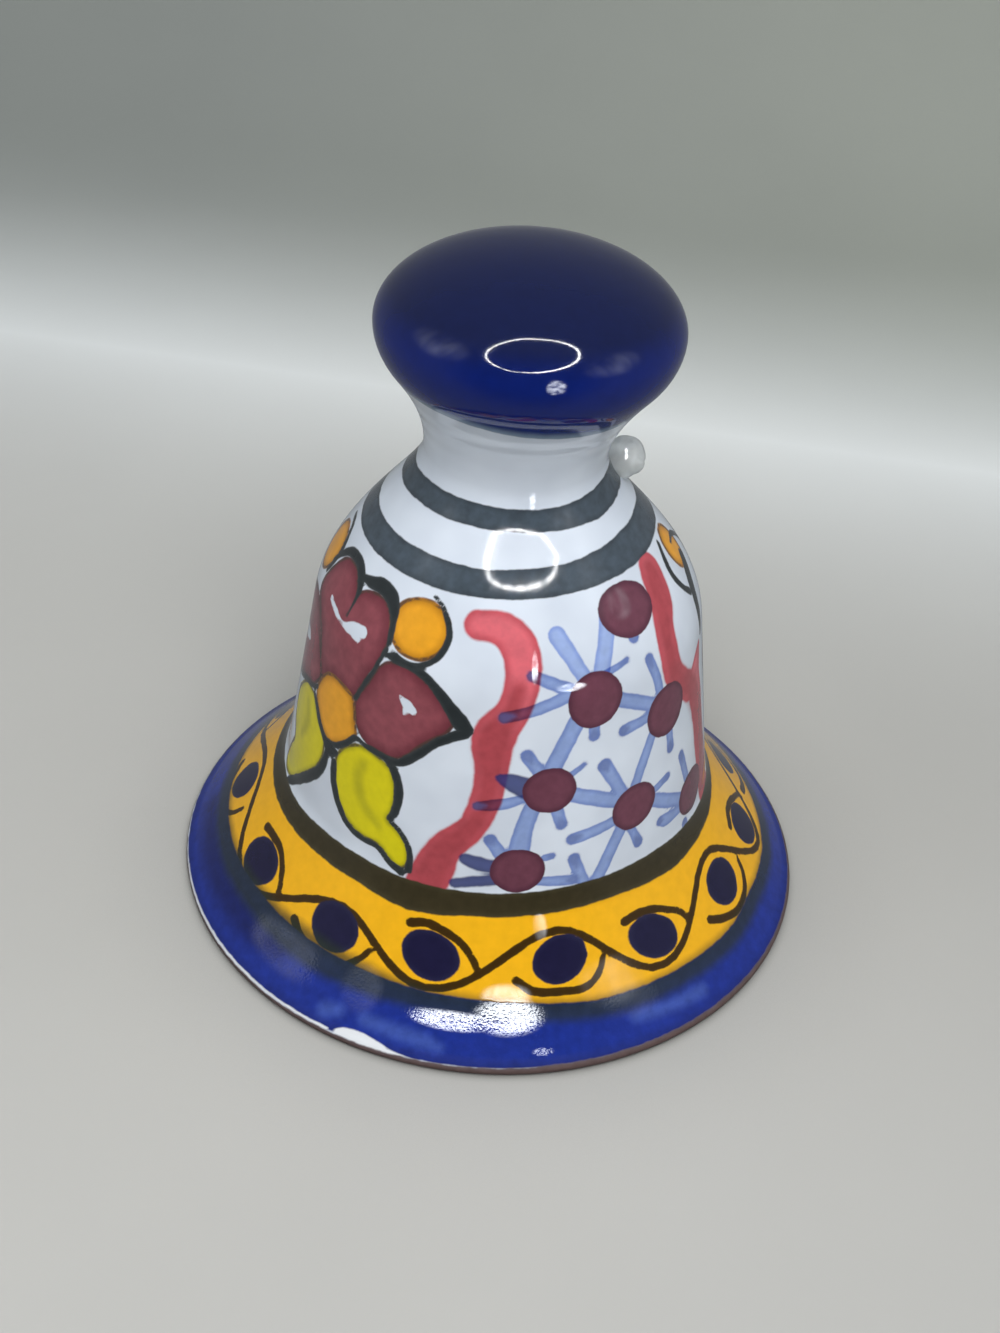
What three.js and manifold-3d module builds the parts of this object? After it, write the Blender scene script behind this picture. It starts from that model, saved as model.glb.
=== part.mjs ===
// A small table bell of glazed earthenware. The shell is one fired piece: flared skirt, barrel,
// shoulder, waisted neck and mushroom knob. A steel pin through the neck carries an oval link,
// and the clapper hangs from that link by the eye of its wire.
// Millimetres, +Z up, origin in the middle of the foot that the bell stands on.
import * as THREE from "three";
import { mergeVertices } from "three/addons/utils/BufferGeometryUtils.js";
import Module from "manifold-3d";

// Gap between pieces that fit together.
const CLEARANCE = 0.3;

// Outside of the shell, from the foot up.
const RIM_RADIUS = 43;
const EDGE_ROUND = 0.9;
const LIP_HEIGHT = 1.8;
const LIP_RUN = 1.1;
const SKIRT_HEIGHT = 15;
const SKIRT_HOLLOW = 0.5;
const FILLET_RUN = 1.4;
const BARREL_FOOT_RADIUS = 28.5;
const BARREL_FOOT_HEIGHT = 18.4;
const BARREL_TOP_RADIUS = 24.8;
const BARREL_TOP_HEIGHT = 42.6;
const SHOULDER_FULLNESS = 9.4;
const NECK_RADIUS = 11.2;
const NECK_HEIGHT = 64.2;
const NECK_FULLNESS = 4.8;
const KNOB_RADIUS = 18.1;
const KNOB_HEIGHT = 79.9;
const KNOB_RISE = 9.1;
const KNOB_DROP = 11.2;
const KNOB_FLARE_ANGLE = THREE.MathUtils.degToRad(27);

// Inside of the shell.
const FOOT_WIDTH = 3.9;
const WALL = 4.5;
const NECK_BORE_RADIUS = 5.5;
const CROWN_ABOVE_PIN = 6;
const CROWN_DOME = 3.5;

// Pin through the neck and the clear drop that seals its outer end.
const PIN_RADIUS = 0.8;
const PIN_HEIGHT = 62;
const PIN_SOCKET_DEPTH = 3;
const PIN_GRIP = 1.5;
const DROP_RADIUS = 2.6;
const DROP_STAND_OFF = 1.4;

// Link, clapper wire and clapper ball.
const WIRE_RADIUS = 0.7;
const LINK_INNER_WIDTH = 4.4;
const LINK_INNER_LENGTH = 7.5;
const EYE_INNER_RADIUS = 1.7;
const EYE_OPENING = THREE.MathUtils.degToRad(50);
const EYE_LEAD_ANGLE = THREE.MathUtils.degToRad(30);
const EYE_NECK_LENGTH = 2.6;
const BALL_RADIUS = 8;
const BALL_HEIGHT = 21;

// How finely the round forms are faceted.
const PROFILE_CHORD = 2.6;
const LEAST_CHORDS = 3;
const SHELL_SEGMENTS = 64;
const BALL_SEGMENTS = 32;
const SMALL_SEGMENTS = 24;
const WIRE_SIDES = 10;
const WIRE_CHORD = 0.7;

// Materials, from the look of each piece.
const glazed = new THREE.MeshStandardMaterial({ color: 0xe9ecef, roughness: 0.12, metalness: 0 });
const biscuit = new THREE.MeshStandardMaterial({ color: 0xb4674a, roughness: 0.85, metalness: 0 });
const steel = new THREE.MeshStandardMaterial({ color: 0xa7a9ab, roughness: 0.35, metalness: 1 });
const clear = new THREE.MeshStandardMaterial({
  color: 0xe6eaea,
  roughness: 0.08,
  metalness: 0,
  transparent: true,
  opacity: 0.4,
});

const wasm = await Module();
wasm.setup();

// A closed geometry as a solid that can be cut.
function toSolid(geometry) {
  const bare = geometry.index ? geometry.toNonIndexed() : geometry.clone();
  bare.deleteAttribute("normal");
  bare.deleteAttribute("uv");
  const merged = mergeVertices(bare, 1e-4);
  return new wasm.Manifold(
    new wasm.Mesh({
      numProp: 3,
      vertProperties: new Float32Array(merged.attributes.position.array),
      triVerts: new Uint32Array(merged.index.array),
    }),
  );
}

// A cut solid back as a geometry.
function toGeometry(solid) {
  const mesh = solid.getMesh();
  const geometry = new THREE.BufferGeometry();
  geometry.setAttribute("position", new THREE.BufferAttribute(mesh.vertProperties, 3));
  geometry.setIndex(new THREE.BufferAttribute(mesh.triVerts, 1));
  geometry.computeVertexNormals();
  return geometry;
}

// A profile of (radius, height) points turned about +Z.
function turned(points, segments) {
  return new THREE.LatheGeometry(points, segments).rotateX(Math.PI / 2);
}

// A round rod along +X from one end to the other.
function rodAlongX(radius, from, to, sides) {
  const rod = new THREE.CylinderGeometry(radius, radius, to - from, sides);
  return rod.rotateZ(-Math.PI / 2).translate((from + to) / 2, 0, 0);
}

// The radius of a profile at a height, between the two points that the height lies between.
function radiusAt(points, height) {
  for (let i = 1; i < points.length; i++) {
    const [a, b] = [points[i - 1], points[i]];
    if ((a.y - height) * (b.y - height) > 0 || a.y === b.y) continue;
    return a.x + ((b.x - a.x) * (height - a.y)) / (b.y - a.y);
  }
  throw new Error("the profile doesn't reach height " + height);
}

// Points along a path, with each curve cut into chords and each straight kept whole.
function sampled(path) {
  const points = path.curves.flatMap((curve) => {
    const chords = Math.max(LEAST_CHORDS, Math.ceil(curve.getLength() / PROFILE_CHORD));
    return curve.getPoints(curve.isLineCurve ? 1 : chords);
  });
  const near = 1e-6;
  points.forEach((p) => (p.x = p.x < near ? 0 : p.x));
  return points.filter((p, i) => i === 0 || p.distanceTo(points[i - 1]) > near);
}

// How much the barrel's radius changes for each millimetre of height.
const barrelTaper = (BARREL_TOP_RADIUS - BARREL_FOOT_RADIUS) / (BARREL_TOP_HEIGHT - BARREL_FOOT_HEIGHT);

// Outer profile, from the foot's outer edge to the top of the knob.
function outerProfile() {
  const lipTop = new THREE.Vector2(RIM_RADIUS - LIP_RUN, LIP_HEIGHT);
  const skirtTop = new THREE.Vector2(BARREL_FOOT_RADIUS + FILLET_RUN, SKIRT_HEIGHT);
  const skirtMiddle = lipTop.clone().lerp(skirtTop, 0.5).subScalar(SKIRT_HOLLOW);
  const filletMiddle = (SKIRT_HEIGHT + BARREL_FOOT_HEIGHT) / 2;
  const flareRadius = KNOB_RADIUS * Math.cos(KNOB_FLARE_ANGLE);
  const flareHeight = KNOB_HEIGHT - KNOB_DROP * Math.sin(KNOB_FLARE_ANGLE);
  const flareSlope = KNOB_DROP / (KNOB_RADIUS * Math.tan(KNOB_FLARE_ANGLE));

  const path = new THREE.Path();
  path.moveTo(RIM_RADIUS - EDGE_ROUND, 0);
  path.quadraticCurveTo(RIM_RADIUS, 0, RIM_RADIUS, EDGE_ROUND);
  path.quadraticCurveTo(RIM_RADIUS, (EDGE_ROUND + LIP_HEIGHT) / 2, lipTop.x, lipTop.y);
  path.quadraticCurveTo(skirtMiddle.x, skirtMiddle.y, skirtTop.x, skirtTop.y);
  path.quadraticCurveTo(
    BARREL_FOOT_RADIUS + barrelTaper * (filletMiddle - BARREL_FOOT_HEIGHT),
    filletMiddle,
    BARREL_FOOT_RADIUS,
    BARREL_FOOT_HEIGHT,
  );
  path.lineTo(BARREL_TOP_RADIUS, BARREL_TOP_HEIGHT);
  path.bezierCurveTo(
    BARREL_TOP_RADIUS + barrelTaper * SHOULDER_FULLNESS,
    BARREL_TOP_HEIGHT + SHOULDER_FULLNESS,
    NECK_RADIUS,
    NECK_HEIGHT - NECK_FULLNESS,
    NECK_RADIUS,
    NECK_HEIGHT,
  );
  path.quadraticCurveTo(
    NECK_RADIUS,
    flareHeight - (flareRadius - NECK_RADIUS) * flareSlope,
    flareRadius,
    flareHeight,
  );
  path.absellipse(0, KNOB_HEIGHT, KNOB_RADIUS, KNOB_DROP, -KNOB_FLARE_ANGLE, 0, false);
  path.absellipse(0, KNOB_HEIGHT, KNOB_RADIUS, KNOB_RISE, 0, Math.PI / 2, false);
  return sampled(path);
}

// Inner profile, from the crown of the hollow down to the foot's inner edge.
function innerProfile() {
  const footRadius = RIM_RADIUS - EDGE_ROUND - FOOT_WIDTH;
  const barrelFoot = new THREE.Vector2(BARREL_FOOT_RADIUS - WALL, BARREL_FOOT_HEIGHT - WALL / 2);
  const barrelTop = new THREE.Vector2(BARREL_TOP_RADIUS - WALL, BARREL_TOP_HEIGHT - WALL / 2);
  const throat = PIN_HEIGHT + CROWN_ABOVE_PIN - CROWN_DOME;

  const path = new THREE.Path();
  path.absellipse(0, throat, NECK_BORE_RADIUS, CROWN_DOME, Math.PI / 2, 0, true);
  path.bezierCurveTo(
    NECK_BORE_RADIUS,
    throat - NECK_FULLNESS,
    barrelTop.x + barrelTaper * SHOULDER_FULLNESS,
    barrelTop.y + SHOULDER_FULLNESS,
    barrelTop.x,
    barrelTop.y,
  );
  path.lineTo(barrelFoot.x, barrelFoot.y);
  path.bezierCurveTo(
    barrelFoot.x - (barrelTaper * WALL) / 2,
    barrelFoot.y - WALL / 2,
    (barrelFoot.x + footRadius) / 2 - SKIRT_HOLLOW,
    barrelFoot.y / 2,
    footRadius,
    0,
  );
  return sampled(path);
}

const outer = outerProfile();
const inner = innerProfile();
const neckOuterRadius = radiusAt(outer, PIN_HEIGHT);
const neckInnerRadius = radiusAt(inner, PIN_HEIGHT);
const pinStart = -neckInnerRadius - PIN_SOCKET_DEPTH;
const pinEnd = neckOuterRadius + PIN_GRIP;
const dropCentre = neckOuterRadius + DROP_STAND_OFF;

// The shell: outer and inner profile turned together, with the pin's hole through one side of the
// neck and its blind socket in the other.
function bellShell() {
  const body = toSolid(turned([...inner, ...outer], SHELL_SEGMENTS));
  const hole = rodAlongX(PIN_RADIUS + CLEARANCE, pinStart - CLEARANCE, RIM_RADIUS, SMALL_SEGMENTS);
  return toGeometry(body.subtract(toSolid(hole.translate(0, 0, PIN_HEIGHT))));
}

// The clear drop, seated on the neck's own shape and socketed on the end of the pin.
function clearDrop() {
  const drop = toSolid(new THREE.SphereGeometry(DROP_RADIUS, SMALL_SEGMENTS, SMALL_SEGMENTS / 2));
  const seat = outer.map((p) => new THREE.Vector2(p.x === 0 ? 0 : p.x + CLEARANCE, p.y));
  const closed = [new THREE.Vector2(0, 0), ...seat];
  const neck = toSolid(turned(closed, SHELL_SEGMENTS).translate(-dropCentre, 0, -PIN_HEIGHT));
  const socketEnd = pinEnd + CLEARANCE - dropCentre;
  const socket = rodAlongX(PIN_RADIUS + CLEARANCE, -dropCentre, socketEnd, SMALL_SEGMENTS);
  return toGeometry(drop.subtract(neck).subtract(toSolid(socket)));
}

// The oval link: a ring of wire about X, pulled apart at its middle into straight sides.
function ovalLink() {
  const bendRadius = LINK_INNER_WIDTH / 2 + WIRE_RADIUS;
  const halfStraight = (LINK_INNER_LENGTH - LINK_INNER_WIDTH) / 2;
  const ring = new THREE.TorusGeometry(bendRadius, WIRE_RADIUS, WIRE_SIDES, SMALL_SEGMENTS * 2);
  const place = ring.attributes.position;
  for (let i = 0; i < place.count; i++) {
    const y = place.getY(i);
    if (Math.abs(y) > 1e-6) place.setY(i, y + Math.sign(y) * halfStraight);
  }
  return ring.rotateX(Math.PI / 2).rotateZ(Math.PI / 2);
}

// The centre line of one eye, from the wire's free end round to the top of the shank. The eye's
// middle is the origin, and the wire lies in the XZ plane.
function eyeCurves(shankTop) {
  const radius = EYE_INNER_RADIUS + WIRE_RADIUS;
  const from = EYE_OPENING - Math.PI / 2;
  const to = (3 * Math.PI) / 2 - EYE_LEAD_ANGLE;
  const arcs = 4;
  const step = (to - from) / arcs;
  const reach = (4 / 3) * Math.tan(step / 4) * radius;
  const onEye = (angle, handle) =>
    new THREE.Vector3(
      radius * Math.cos(angle) - handle * Math.sin(angle),
      0,
      radius * Math.sin(angle) + handle * Math.cos(angle),
    );
  const curves = [];
  for (let i = 0; i < arcs; i++) {
    const a = from + i * step;
    const b = a + step;
    curves.push(new THREE.CubicBezierCurve3(onEye(a, 0), onEye(a, reach), onEye(b, -reach), onEye(b, 0)));
  }
  const bend = new THREE.Vector3(0, 0, shankTop + EYE_NECK_LENGTH / 2);
  const shank = new THREE.Vector3(0, 0, shankTop);
  curves.push(new THREE.CubicBezierCurve3(onEye(to, 0), onEye(to, reach), bend, shank));
  return curves;
}

// The clapper wire: an eye, a straight shank, and the same eye turned half round at the foot.
function clapperWire(shankTop, shankBottom) {
  const line = new THREE.CurvePath();
  const halfTurn = (p) => new THREE.Vector3(-p.x, 0, shankTop + shankBottom - p.z);
  const upperEye = eyeCurves(shankTop);
  upperEye.forEach((curve) => line.add(curve));
  line.add(new THREE.LineCurve3(new THREE.Vector3(0, 0, shankTop), new THREE.Vector3(0, 0, shankBottom)));
  upperEye.reverse().forEach((curve) => {
    const corners = [curve.v3, curve.v2, curve.v1, curve.v0].map(halfTurn);
    line.add(new THREE.CubicBezierCurve3(...corners));
  });
  const section = new THREE.Shape().absarc(0, 0, WIRE_RADIUS, 0, 2 * Math.PI);
  return new THREE.ExtrudeGeometry(section, {
    extrudePath: line,
    steps: Math.ceil(line.getLength() / WIRE_CHORD),
    curveSegments: WIRE_SIDES / 2,
    bevelEnabled: false,
  });
}

// The clapper ball, bored through for its wire.
function clapperBall() {
  const ball = toSolid(new THREE.SphereGeometry(BALL_RADIUS, BALL_SEGMENTS, BALL_SEGMENTS / 2));
  const bore = new THREE.CylinderGeometry(
    WIRE_RADIUS + CLEARANCE,
    WIRE_RADIUS + CLEARANCE,
    BALL_RADIUS * 3,
    SMALL_SEGMENTS / 2,
  ).rotateX(Math.PI / 2);
  return toGeometry(ball.subtract(toSolid(bore)));
}

function named(name, geometry, material) {
  const mesh = new THREE.Mesh(geometry, material);
  mesh.name = name;
  return mesh;
}

const bell = new THREE.Group();
bell.add(named("bell_shell", bellShell(), glazed));

const neckPin = named("neck_pin", rodAlongX(PIN_RADIUS, pinStart, pinEnd, SMALL_SEGMENTS / 2), steel);
neckPin.position.z = PIN_HEIGHT;
const pinSeal = named("clear_drop", clearDrop(), clear);
pinSeal.position.set(dropCentre, 0, PIN_HEIGHT);
bell.add(neckPin, pinSeal);

// The link swings about the pin, so its group sits on the pin's axis.
const linkGroup = new THREE.Group();
linkGroup.position.z = PIN_HEIGHT;
const linkTop = PIN_RADIUS + CLEARANCE;
const linkFoot = linkTop - LINK_INNER_LENGTH - WIRE_RADIUS;
const link = named("hanger_link", ovalLink(), steel);
link.position.z = linkTop - LINK_INNER_LENGTH / 2;
linkGroup.add(link);
bell.add(linkGroup);

// The clapper swings about the wire at the foot of the link.
const clapperGroup = new THREE.Group();
clapperGroup.position.z = linkFoot;
const eyeHeight = WIRE_RADIUS + CLEARANCE - EYE_INNER_RADIUS;
const ballDrop = BALL_HEIGHT - PIN_HEIGHT - linkFoot;
const shankTop = -EYE_INNER_RADIUS - WIRE_RADIUS - EYE_NECK_LENGTH;
const shankBottom = ballDrop - BALL_RADIUS - CLEARANCE - eyeHeight;
const wire = named("clapper_wire", clapperWire(shankTop, shankBottom), steel);
wire.position.z = eyeHeight;
const ball = named("clapper_ball", clapperBall(), biscuit);
ball.position.z = ballDrop;
clapperGroup.add(wire, ball);
linkGroup.add(clapperGroup);

export default bell;
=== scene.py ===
import math

import bmesh
import bpy
import numpy as np
from mathutils import Matrix, Vector, noise


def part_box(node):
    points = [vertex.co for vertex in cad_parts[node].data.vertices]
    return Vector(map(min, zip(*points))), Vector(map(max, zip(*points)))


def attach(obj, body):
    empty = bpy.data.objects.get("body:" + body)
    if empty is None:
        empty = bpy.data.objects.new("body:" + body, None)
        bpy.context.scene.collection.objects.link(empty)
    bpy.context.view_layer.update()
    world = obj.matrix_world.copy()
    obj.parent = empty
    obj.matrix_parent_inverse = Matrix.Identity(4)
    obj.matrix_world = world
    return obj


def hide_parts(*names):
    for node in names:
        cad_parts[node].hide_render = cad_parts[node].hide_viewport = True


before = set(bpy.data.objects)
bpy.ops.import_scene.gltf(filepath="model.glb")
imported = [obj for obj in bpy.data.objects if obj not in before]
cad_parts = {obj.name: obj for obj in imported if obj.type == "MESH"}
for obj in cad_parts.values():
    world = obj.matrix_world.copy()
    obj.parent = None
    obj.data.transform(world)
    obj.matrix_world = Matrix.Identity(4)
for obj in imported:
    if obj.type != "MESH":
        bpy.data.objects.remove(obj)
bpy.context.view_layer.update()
scene = bpy.context.scene
mm = 0.001
weld = mm / 1000   # points closer than this become one
tiny = 1e-9        # keeps a division off zero
fewestSteps = 3    # in any bend or arc
print("frame loaded:", ", ".join(sorted(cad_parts)))


def linear(hexText):  # sRGB hex to the linear colour that a shader takes
    parts = [int(hexText[i:i + 2], 16) / 255 for i in (1, 3, 5)]
    return [c / 12.92 if c <= 0.04045 else ((c + 0.055) / 1.055) ** 2.4 for c in parts] + [1]


# A kind without Node in it is a shader node, hex text is a colour,
# and a node as a link gives its first output in use
def addNode(tree, kind, values=None, links=None, **settings):
    node = tree.nodes.new(kind if "Node" in kind else "ShaderNode" + kind)
    for name, value in settings.items():
        setattr(node, name, value)
    for socket, value in (values or {}).items():
        node.inputs[socket].default_value = linear(value) if str(value).startswith("#") else value
    for socket, source in (links or {}).items():
        if isinstance(source, bpy.types.Node):
            source = next(out for out in source.outputs if out.enabled)
        tree.links.new(source, node.inputs[socket])
    return node


def newMaterial(name):  # with its tree and the place on its object
    material = bpy.data.materials.new(name)
    material.use_nodes = True
    tree = material.node_tree
    tree.nodes.clear()
    return material, tree, addNode(tree, "TexCoord").outputs["Object"]


def newObject(name, data):
    made = bpy.data.objects.new(name, data)
    scene.collection.objects.link(made)
    return made


# Camera: the photograph's place, found from the outline and the painted bands
photoCamera = {
    "turn": -12,         # degrees round the bell, from the row's front
    "standOff": 170.2,   # mm from the bell's axis
    "height": 157.4,     # mm above the table
    "yaw": -0.16,
    "pitch": 36.65,      # degrees downwards
    "roll": 4.38,
    "lens": 43.2,        # mm
    "sensor": 36,        # mm, on the long side
    "nearest": 5,        # mm, closer things aren't drawn
}


def placeCamera(facts):
    yaw, pitch, roll = (math.radians(facts[k]) for k in ("yaw", "pitch", "roll"))
    ahead = Vector((math.sin(yaw) * math.cos(pitch), math.cos(yaw) * math.cos(pitch), -math.sin(pitch)))
    level = Vector((math.cos(yaw), -math.sin(yaw), 0))
    upright = level.cross(ahead)
    across = level * math.cos(roll) + upright * math.sin(roll)
    above = upright * math.cos(roll) - level * math.sin(roll)
    pose = Matrix((across, above, -ahead)).transposed().to_4x4()
    pose.translation = Vector((0, -facts["standOff"], facts["height"])) * mm
    data = bpy.data.cameras.new("photoCamera")
    data.lens = facts["lens"]
    data.sensor_width = facts["sensor"]
    data.clip_start = facts["nearest"] * mm
    camera = newObject("photoCamera", data)
    camera.matrix_world = Matrix.Rotation(math.radians(facts["turn"]), 4, "Z") @ pose
    scene.camera = camera


placeCamera(photoCamera)
print("camera placed")

# Geometry Nodes: one tree turns a profile on the wheel, one draws wire along a path


def newTree(name, inputs):
    tree = bpy.data.node_groups.new(name, "GeometryNodeTree")
    for label, kind in inputs.items():
        tree.interface.new_socket(label, in_out="INPUT", socket_type="NodeSocket" + kind)
    tree.interface.new_socket("Made", in_out="OUTPUT", socket_type="NodeSocketGeometry")
    return tree, addNode(tree, "NodeGroupInput").outputs


def endTree(tree, made, finish):
    smooth = addNode(tree, "GeometryNodeSetShadeSmooth", links={"Geometry": made})
    real = addNode(tree, "GeometryNodeRealizeInstances", links={"Geometry": smooth})
    painted = addNode(tree, "GeometryNodeSetMaterial", links={"Geometry": real, "Material": finish})
    addNode(tree, "NodeGroupOutput", links={"Made": painted})


def turningTree():
    tree, given = newTree("turnOnWheel", {
        "Profile": "Geometry", "Columns": "Int", "Rail Radius": "Float", "Unevenness": "Float",
        "Unevenness Size": "Float", "Seed": "Float", "Lean": "Vector", "Lean Height": "Float",
        "Lean Reach": "Float", "Flip": "Bool", "Finish": "Material"})
    line = addNode(tree, "GeometryNodeMeshToCurve", links={"Mesh": given["Profile"]})
    inwards = addNode(tree, "Math", {1: -1.0}, {0: given["Rail Radius"]}, operation="MULTIPLY")
    shift = addNode(tree, "CombineXYZ", links={"X": inwards})
    laid = addNode(tree, "GeometryNodeTransform", {"Rotation": (math.pi / 2, 0, 0)},
                   {"Geometry": line, "Translation": shift})
    rail = addNode(tree, "GeometryNodeCurvePrimitiveCircle",
                   links={"Resolution": given["Columns"], "Radius": given["Rail Radius"]})
    turned = addNode(tree, "GeometryNodeCurveToMesh", links={"Curve": rail, "Profile Curve": laid})
    closed = addNode(tree, "GeometryNodeMergeByDistance", {"Distance": weld}, {"Geometry": turned})
    place = addNode(tree, "GeometryNodeInputPosition")
    grain = addNode(tree, "Math", {0: 1.0}, {1: given["Unevenness Size"]}, operation="DIVIDE")
    hand = addNode(tree, "TexNoise", {"Detail": 1.0}, {"Vector": place, "Scale": grain, "W": given["Seed"]},
                   noise_dimensions="4D")
    depth = addNode(tree, "Math", links={0: hand, 1: given["Unevenness"]}, operation="MULTIPLY")
    pull = addNode(tree, "VectorMath", {1: (-1, -1, 0)}, {0: place}, operation="MULTIPLY")
    step = addNode(tree, "VectorMath", links={0: pull, "Scale": depth}, operation="SCALE")
    uneven = addNode(tree, "GeometryNodeSetPosition", links={"Geometry": closed, "Offset": step})
    height = addNode(tree, "SeparateXYZ", links={0: place})
    above = addNode(tree, "Math", links={0: height.outputs["Z"], 1: given["Lean Height"]}, operation="SUBTRACT")
    away = addNode(tree, "Math", links={0: above}, operation="ABSOLUTE")
    share = addNode(tree, "MapRange", {2: 0.0}, {0: away, 1: given["Lean Reach"]},
                    interpolation_type="SMOOTHSTEP")
    lean = addNode(tree, "VectorMath", links={0: given["Lean"], "Scale": share}, operation="SCALE")
    ran = addNode(tree, "GeometryNodeInputNamedAttribute", {"Name": "run"}, data_type="FLOAT")
    outer = addNode(tree, "FunctionNodeCompare", {1: 0.0}, {0: ran}, data_type="FLOAT",
                    operation="GREATER_THAN")
    leaning = addNode(tree, "GeometryNodeSetPosition",
                      links={"Geometry": uneven, "Selection": outer, "Offset": lean})
    flipped = addNode(tree, "GeometryNodeFlipFaces", links={"Mesh": leaning, "Selection": given["Flip"]})
    endTree(tree, flipped, given["Finish"])
    return tree


def wireTree():
    tree, given = newTree("drawWire", {
        "Path": "Geometry", "Wire Radius": "Float", "Sides": "Int", "Finish": "Material"})
    line = addNode(tree, "GeometryNodeMeshToCurve", links={"Mesh": given["Path"]})
    section = addNode(tree, "GeometryNodeCurvePrimitiveCircle",
                      links={"Resolution": given["Sides"], "Radius": given["Wire Radius"]})
    drawn = addNode(tree, "GeometryNodeCurveToMesh", {"Fill Caps": True},
                    {"Curve": line, "Profile Curve": section})
    endTree(tree, drawn, given["Finish"])
    return tree


def grow(name, tree, path, values, closed=False, marks=None):
    carrier = bpy.data.meshes.new(name + "Path")
    edges = [(i, i + 1) for i in range(len(path) - 1)]
    carrier.from_pydata([Vector(p) * mm for p in path], edges + [(len(path) - 1, 0)] * closed, [])
    for label, numbers in (marks or {}).items():
        carrier.attributes.new(label, "FLOAT", "POINT").data.foreach_set("value", numbers)
    holder = newObject(name + "Path", carrier)
    nodes = holder.modifiers.new("grow", "NODES")
    nodes.node_group = tree
    for item in tree.interface.items_tree:
        if item.in_out == "INPUT" and item.name in values:
            nodes[item.identifier] = values[item.name]
    depsgraph = bpy.context.evaluated_depsgraph_get()
    mesh = bpy.data.meshes.new_from_object(holder.evaluated_get(depsgraph), preserve_all_data_layers=True,
                                           depsgraph=depsgraph)
    holder.modifiers.remove(nodes)
    bpy.data.objects.remove(holder)
    mesh.name = name
    return newObject(name, mesh)


turnOnWheel = turningTree()
drawWire = wireTree()

# The turned shell: the same profile as the solid, in mm, then the mesh's steps and the marks of the hand
shell = {
    "rimRadius": 43, "edgeRound": 0.9, "lipHeight": 1.8, "lipRun": 1.1,
    "skirtHeight": 15, "skirtHollow": 0.5, "filletRun": 1.4,
    "barrelFoot": (28.5, 18.4), "barrelTop": (24.8, 42.6), "shoulderFullness": 9.4,
    "neck": (11.2, 64.2), "neckFullness": 4.8,
    "knob": (18.1, 79.9), "knobRise": 9.1, "knobDrop": 11.2, "knobFlare": 27,
    "footWidth": 3.9, "wall": 4.5, "boreRadius": 5.5, "boreTop": (64.5, 68),
    "paintedRow": 0.46, "knobRow": 1.2, "insideRow": 2.6, "columns": 400,
    "unevenness": 0.0045, "unevennessSize": 30, "seed": 4.0,
    "lean": 0.6, "leanHeight": 62, "leanReach": 14.6,   # the neck was pulled a little to the photograph's left
}


def bend(points, row):  # a Bezier piece in steps of about one row, without its first point
    points = [np.array(p, float) for p in points]
    length = sum(np.linalg.norm(b - a) for a, b in zip(points, points[1:]))
    steps = max(fewestSteps, round(length / row))
    line = []
    for i in range(1, steps + 1):
        level, t = points, i / steps
        while len(level) > 1:
            level = [a + (b - a) * t for a, b in zip(level, level[1:])]
        line.append(level[0])
    return line


def arc(centre, half, start, end, row):
    steps = max(fewestSteps, round(max(half) * abs(end - start) / row))
    turns = [start + (end - start) * i / steps for i in range(1, steps + 1)]
    return [np.array((centre[0] + half[0] * math.cos(t), centre[1] + half[1] * math.sin(t))) for t in turns]


def outerProfile(s):
    fine, coarse = s["paintedRow"], s["knobRow"]
    rim, lip = s["rimRadius"], np.array((s["rimRadius"] - s["lipRun"], s["lipHeight"]))
    foot, top, neck = (np.array(s[k], float) for k in ("barrelFoot", "barrelTop", "neck"))
    taper = (top[0] - foot[0]) / (top[1] - foot[1])
    skirt = np.array((foot[0] + s["filletRun"], s["skirtHeight"]))
    midFillet = (skirt[1] + foot[1]) / 2
    flare = math.radians(s["knobFlare"])
    swell = np.array((s["knob"][0] * math.cos(flare), s["knob"][1] - s["knobDrop"] * math.sin(flare)))
    slope = s["knobDrop"] / (s["knob"][0] * math.tan(flare))
    line = [np.array((rim - s["edgeRound"], 0.0))]
    line += bend([line[-1], (rim, 0), (rim, s["edgeRound"])], fine)
    line += bend([line[-1], (rim, (s["edgeRound"] + s["lipHeight"]) / 2), lip], fine)
    line += bend([lip, (lip + skirt) / 2 - s["skirtHollow"], skirt], fine)
    line += bend([skirt, (foot[0] + taper * (midFillet - foot[1]), midFillet), foot], fine)
    line += bend([foot, top], fine)
    full = s["shoulderFullness"]
    line += bend([top, top + (taper * full, full), neck - (0, s["neckFullness"]), neck], fine)
    line += bend([neck, (neck[0], swell[1] - (swell[0] - neck[0]) * slope), swell], coarse)
    line += arc((0, s["knob"][1]), (s["knob"][0], s["knobDrop"]), -flare, 0, coarse)
    line += arc((0, s["knob"][1]), (s["knob"][0], s["knobRise"]), 0, math.pi / 2, coarse)
    line[-1][0] = 0
    return line


def innerProfile(s):
    row = s["insideRow"]
    foot, top = np.array(s["barrelFoot"], float), np.array(s["barrelTop"], float)
    taper = (top[0] - foot[0]) / (top[1] - foot[1])
    drop = s["wall"] / 2
    foot, top = foot - (s["wall"], drop), top - (s["wall"], drop)
    edge = np.array((s["rimRadius"] - s["edgeRound"] - s["footWidth"], 0.0))
    bore, full = s["boreRadius"], s["shoulderFullness"]
    line = bend([edge + (s["footWidth"], 0), edge], row / 2)
    mid = ((foot[0] + edge[0]) / 2 - s["skirtHollow"], foot[1] / 2)
    line += bend([edge, mid, (foot[0] - taper * drop, foot[1] - drop), foot], row)
    line += bend([foot, top], row)
    line += bend([top, top + (taper * full, full), (bore, s["boreTop"][0] - s["neckFullness"]),
                  (bore, s["boreTop"][0])], row)
    line += arc((0, s["boreTop"][0]), (bore, s["boreTop"][1] - s["boreTop"][0]), 0, math.pi / 2, row)
    line[-1][0] = 0
    return line


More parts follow.
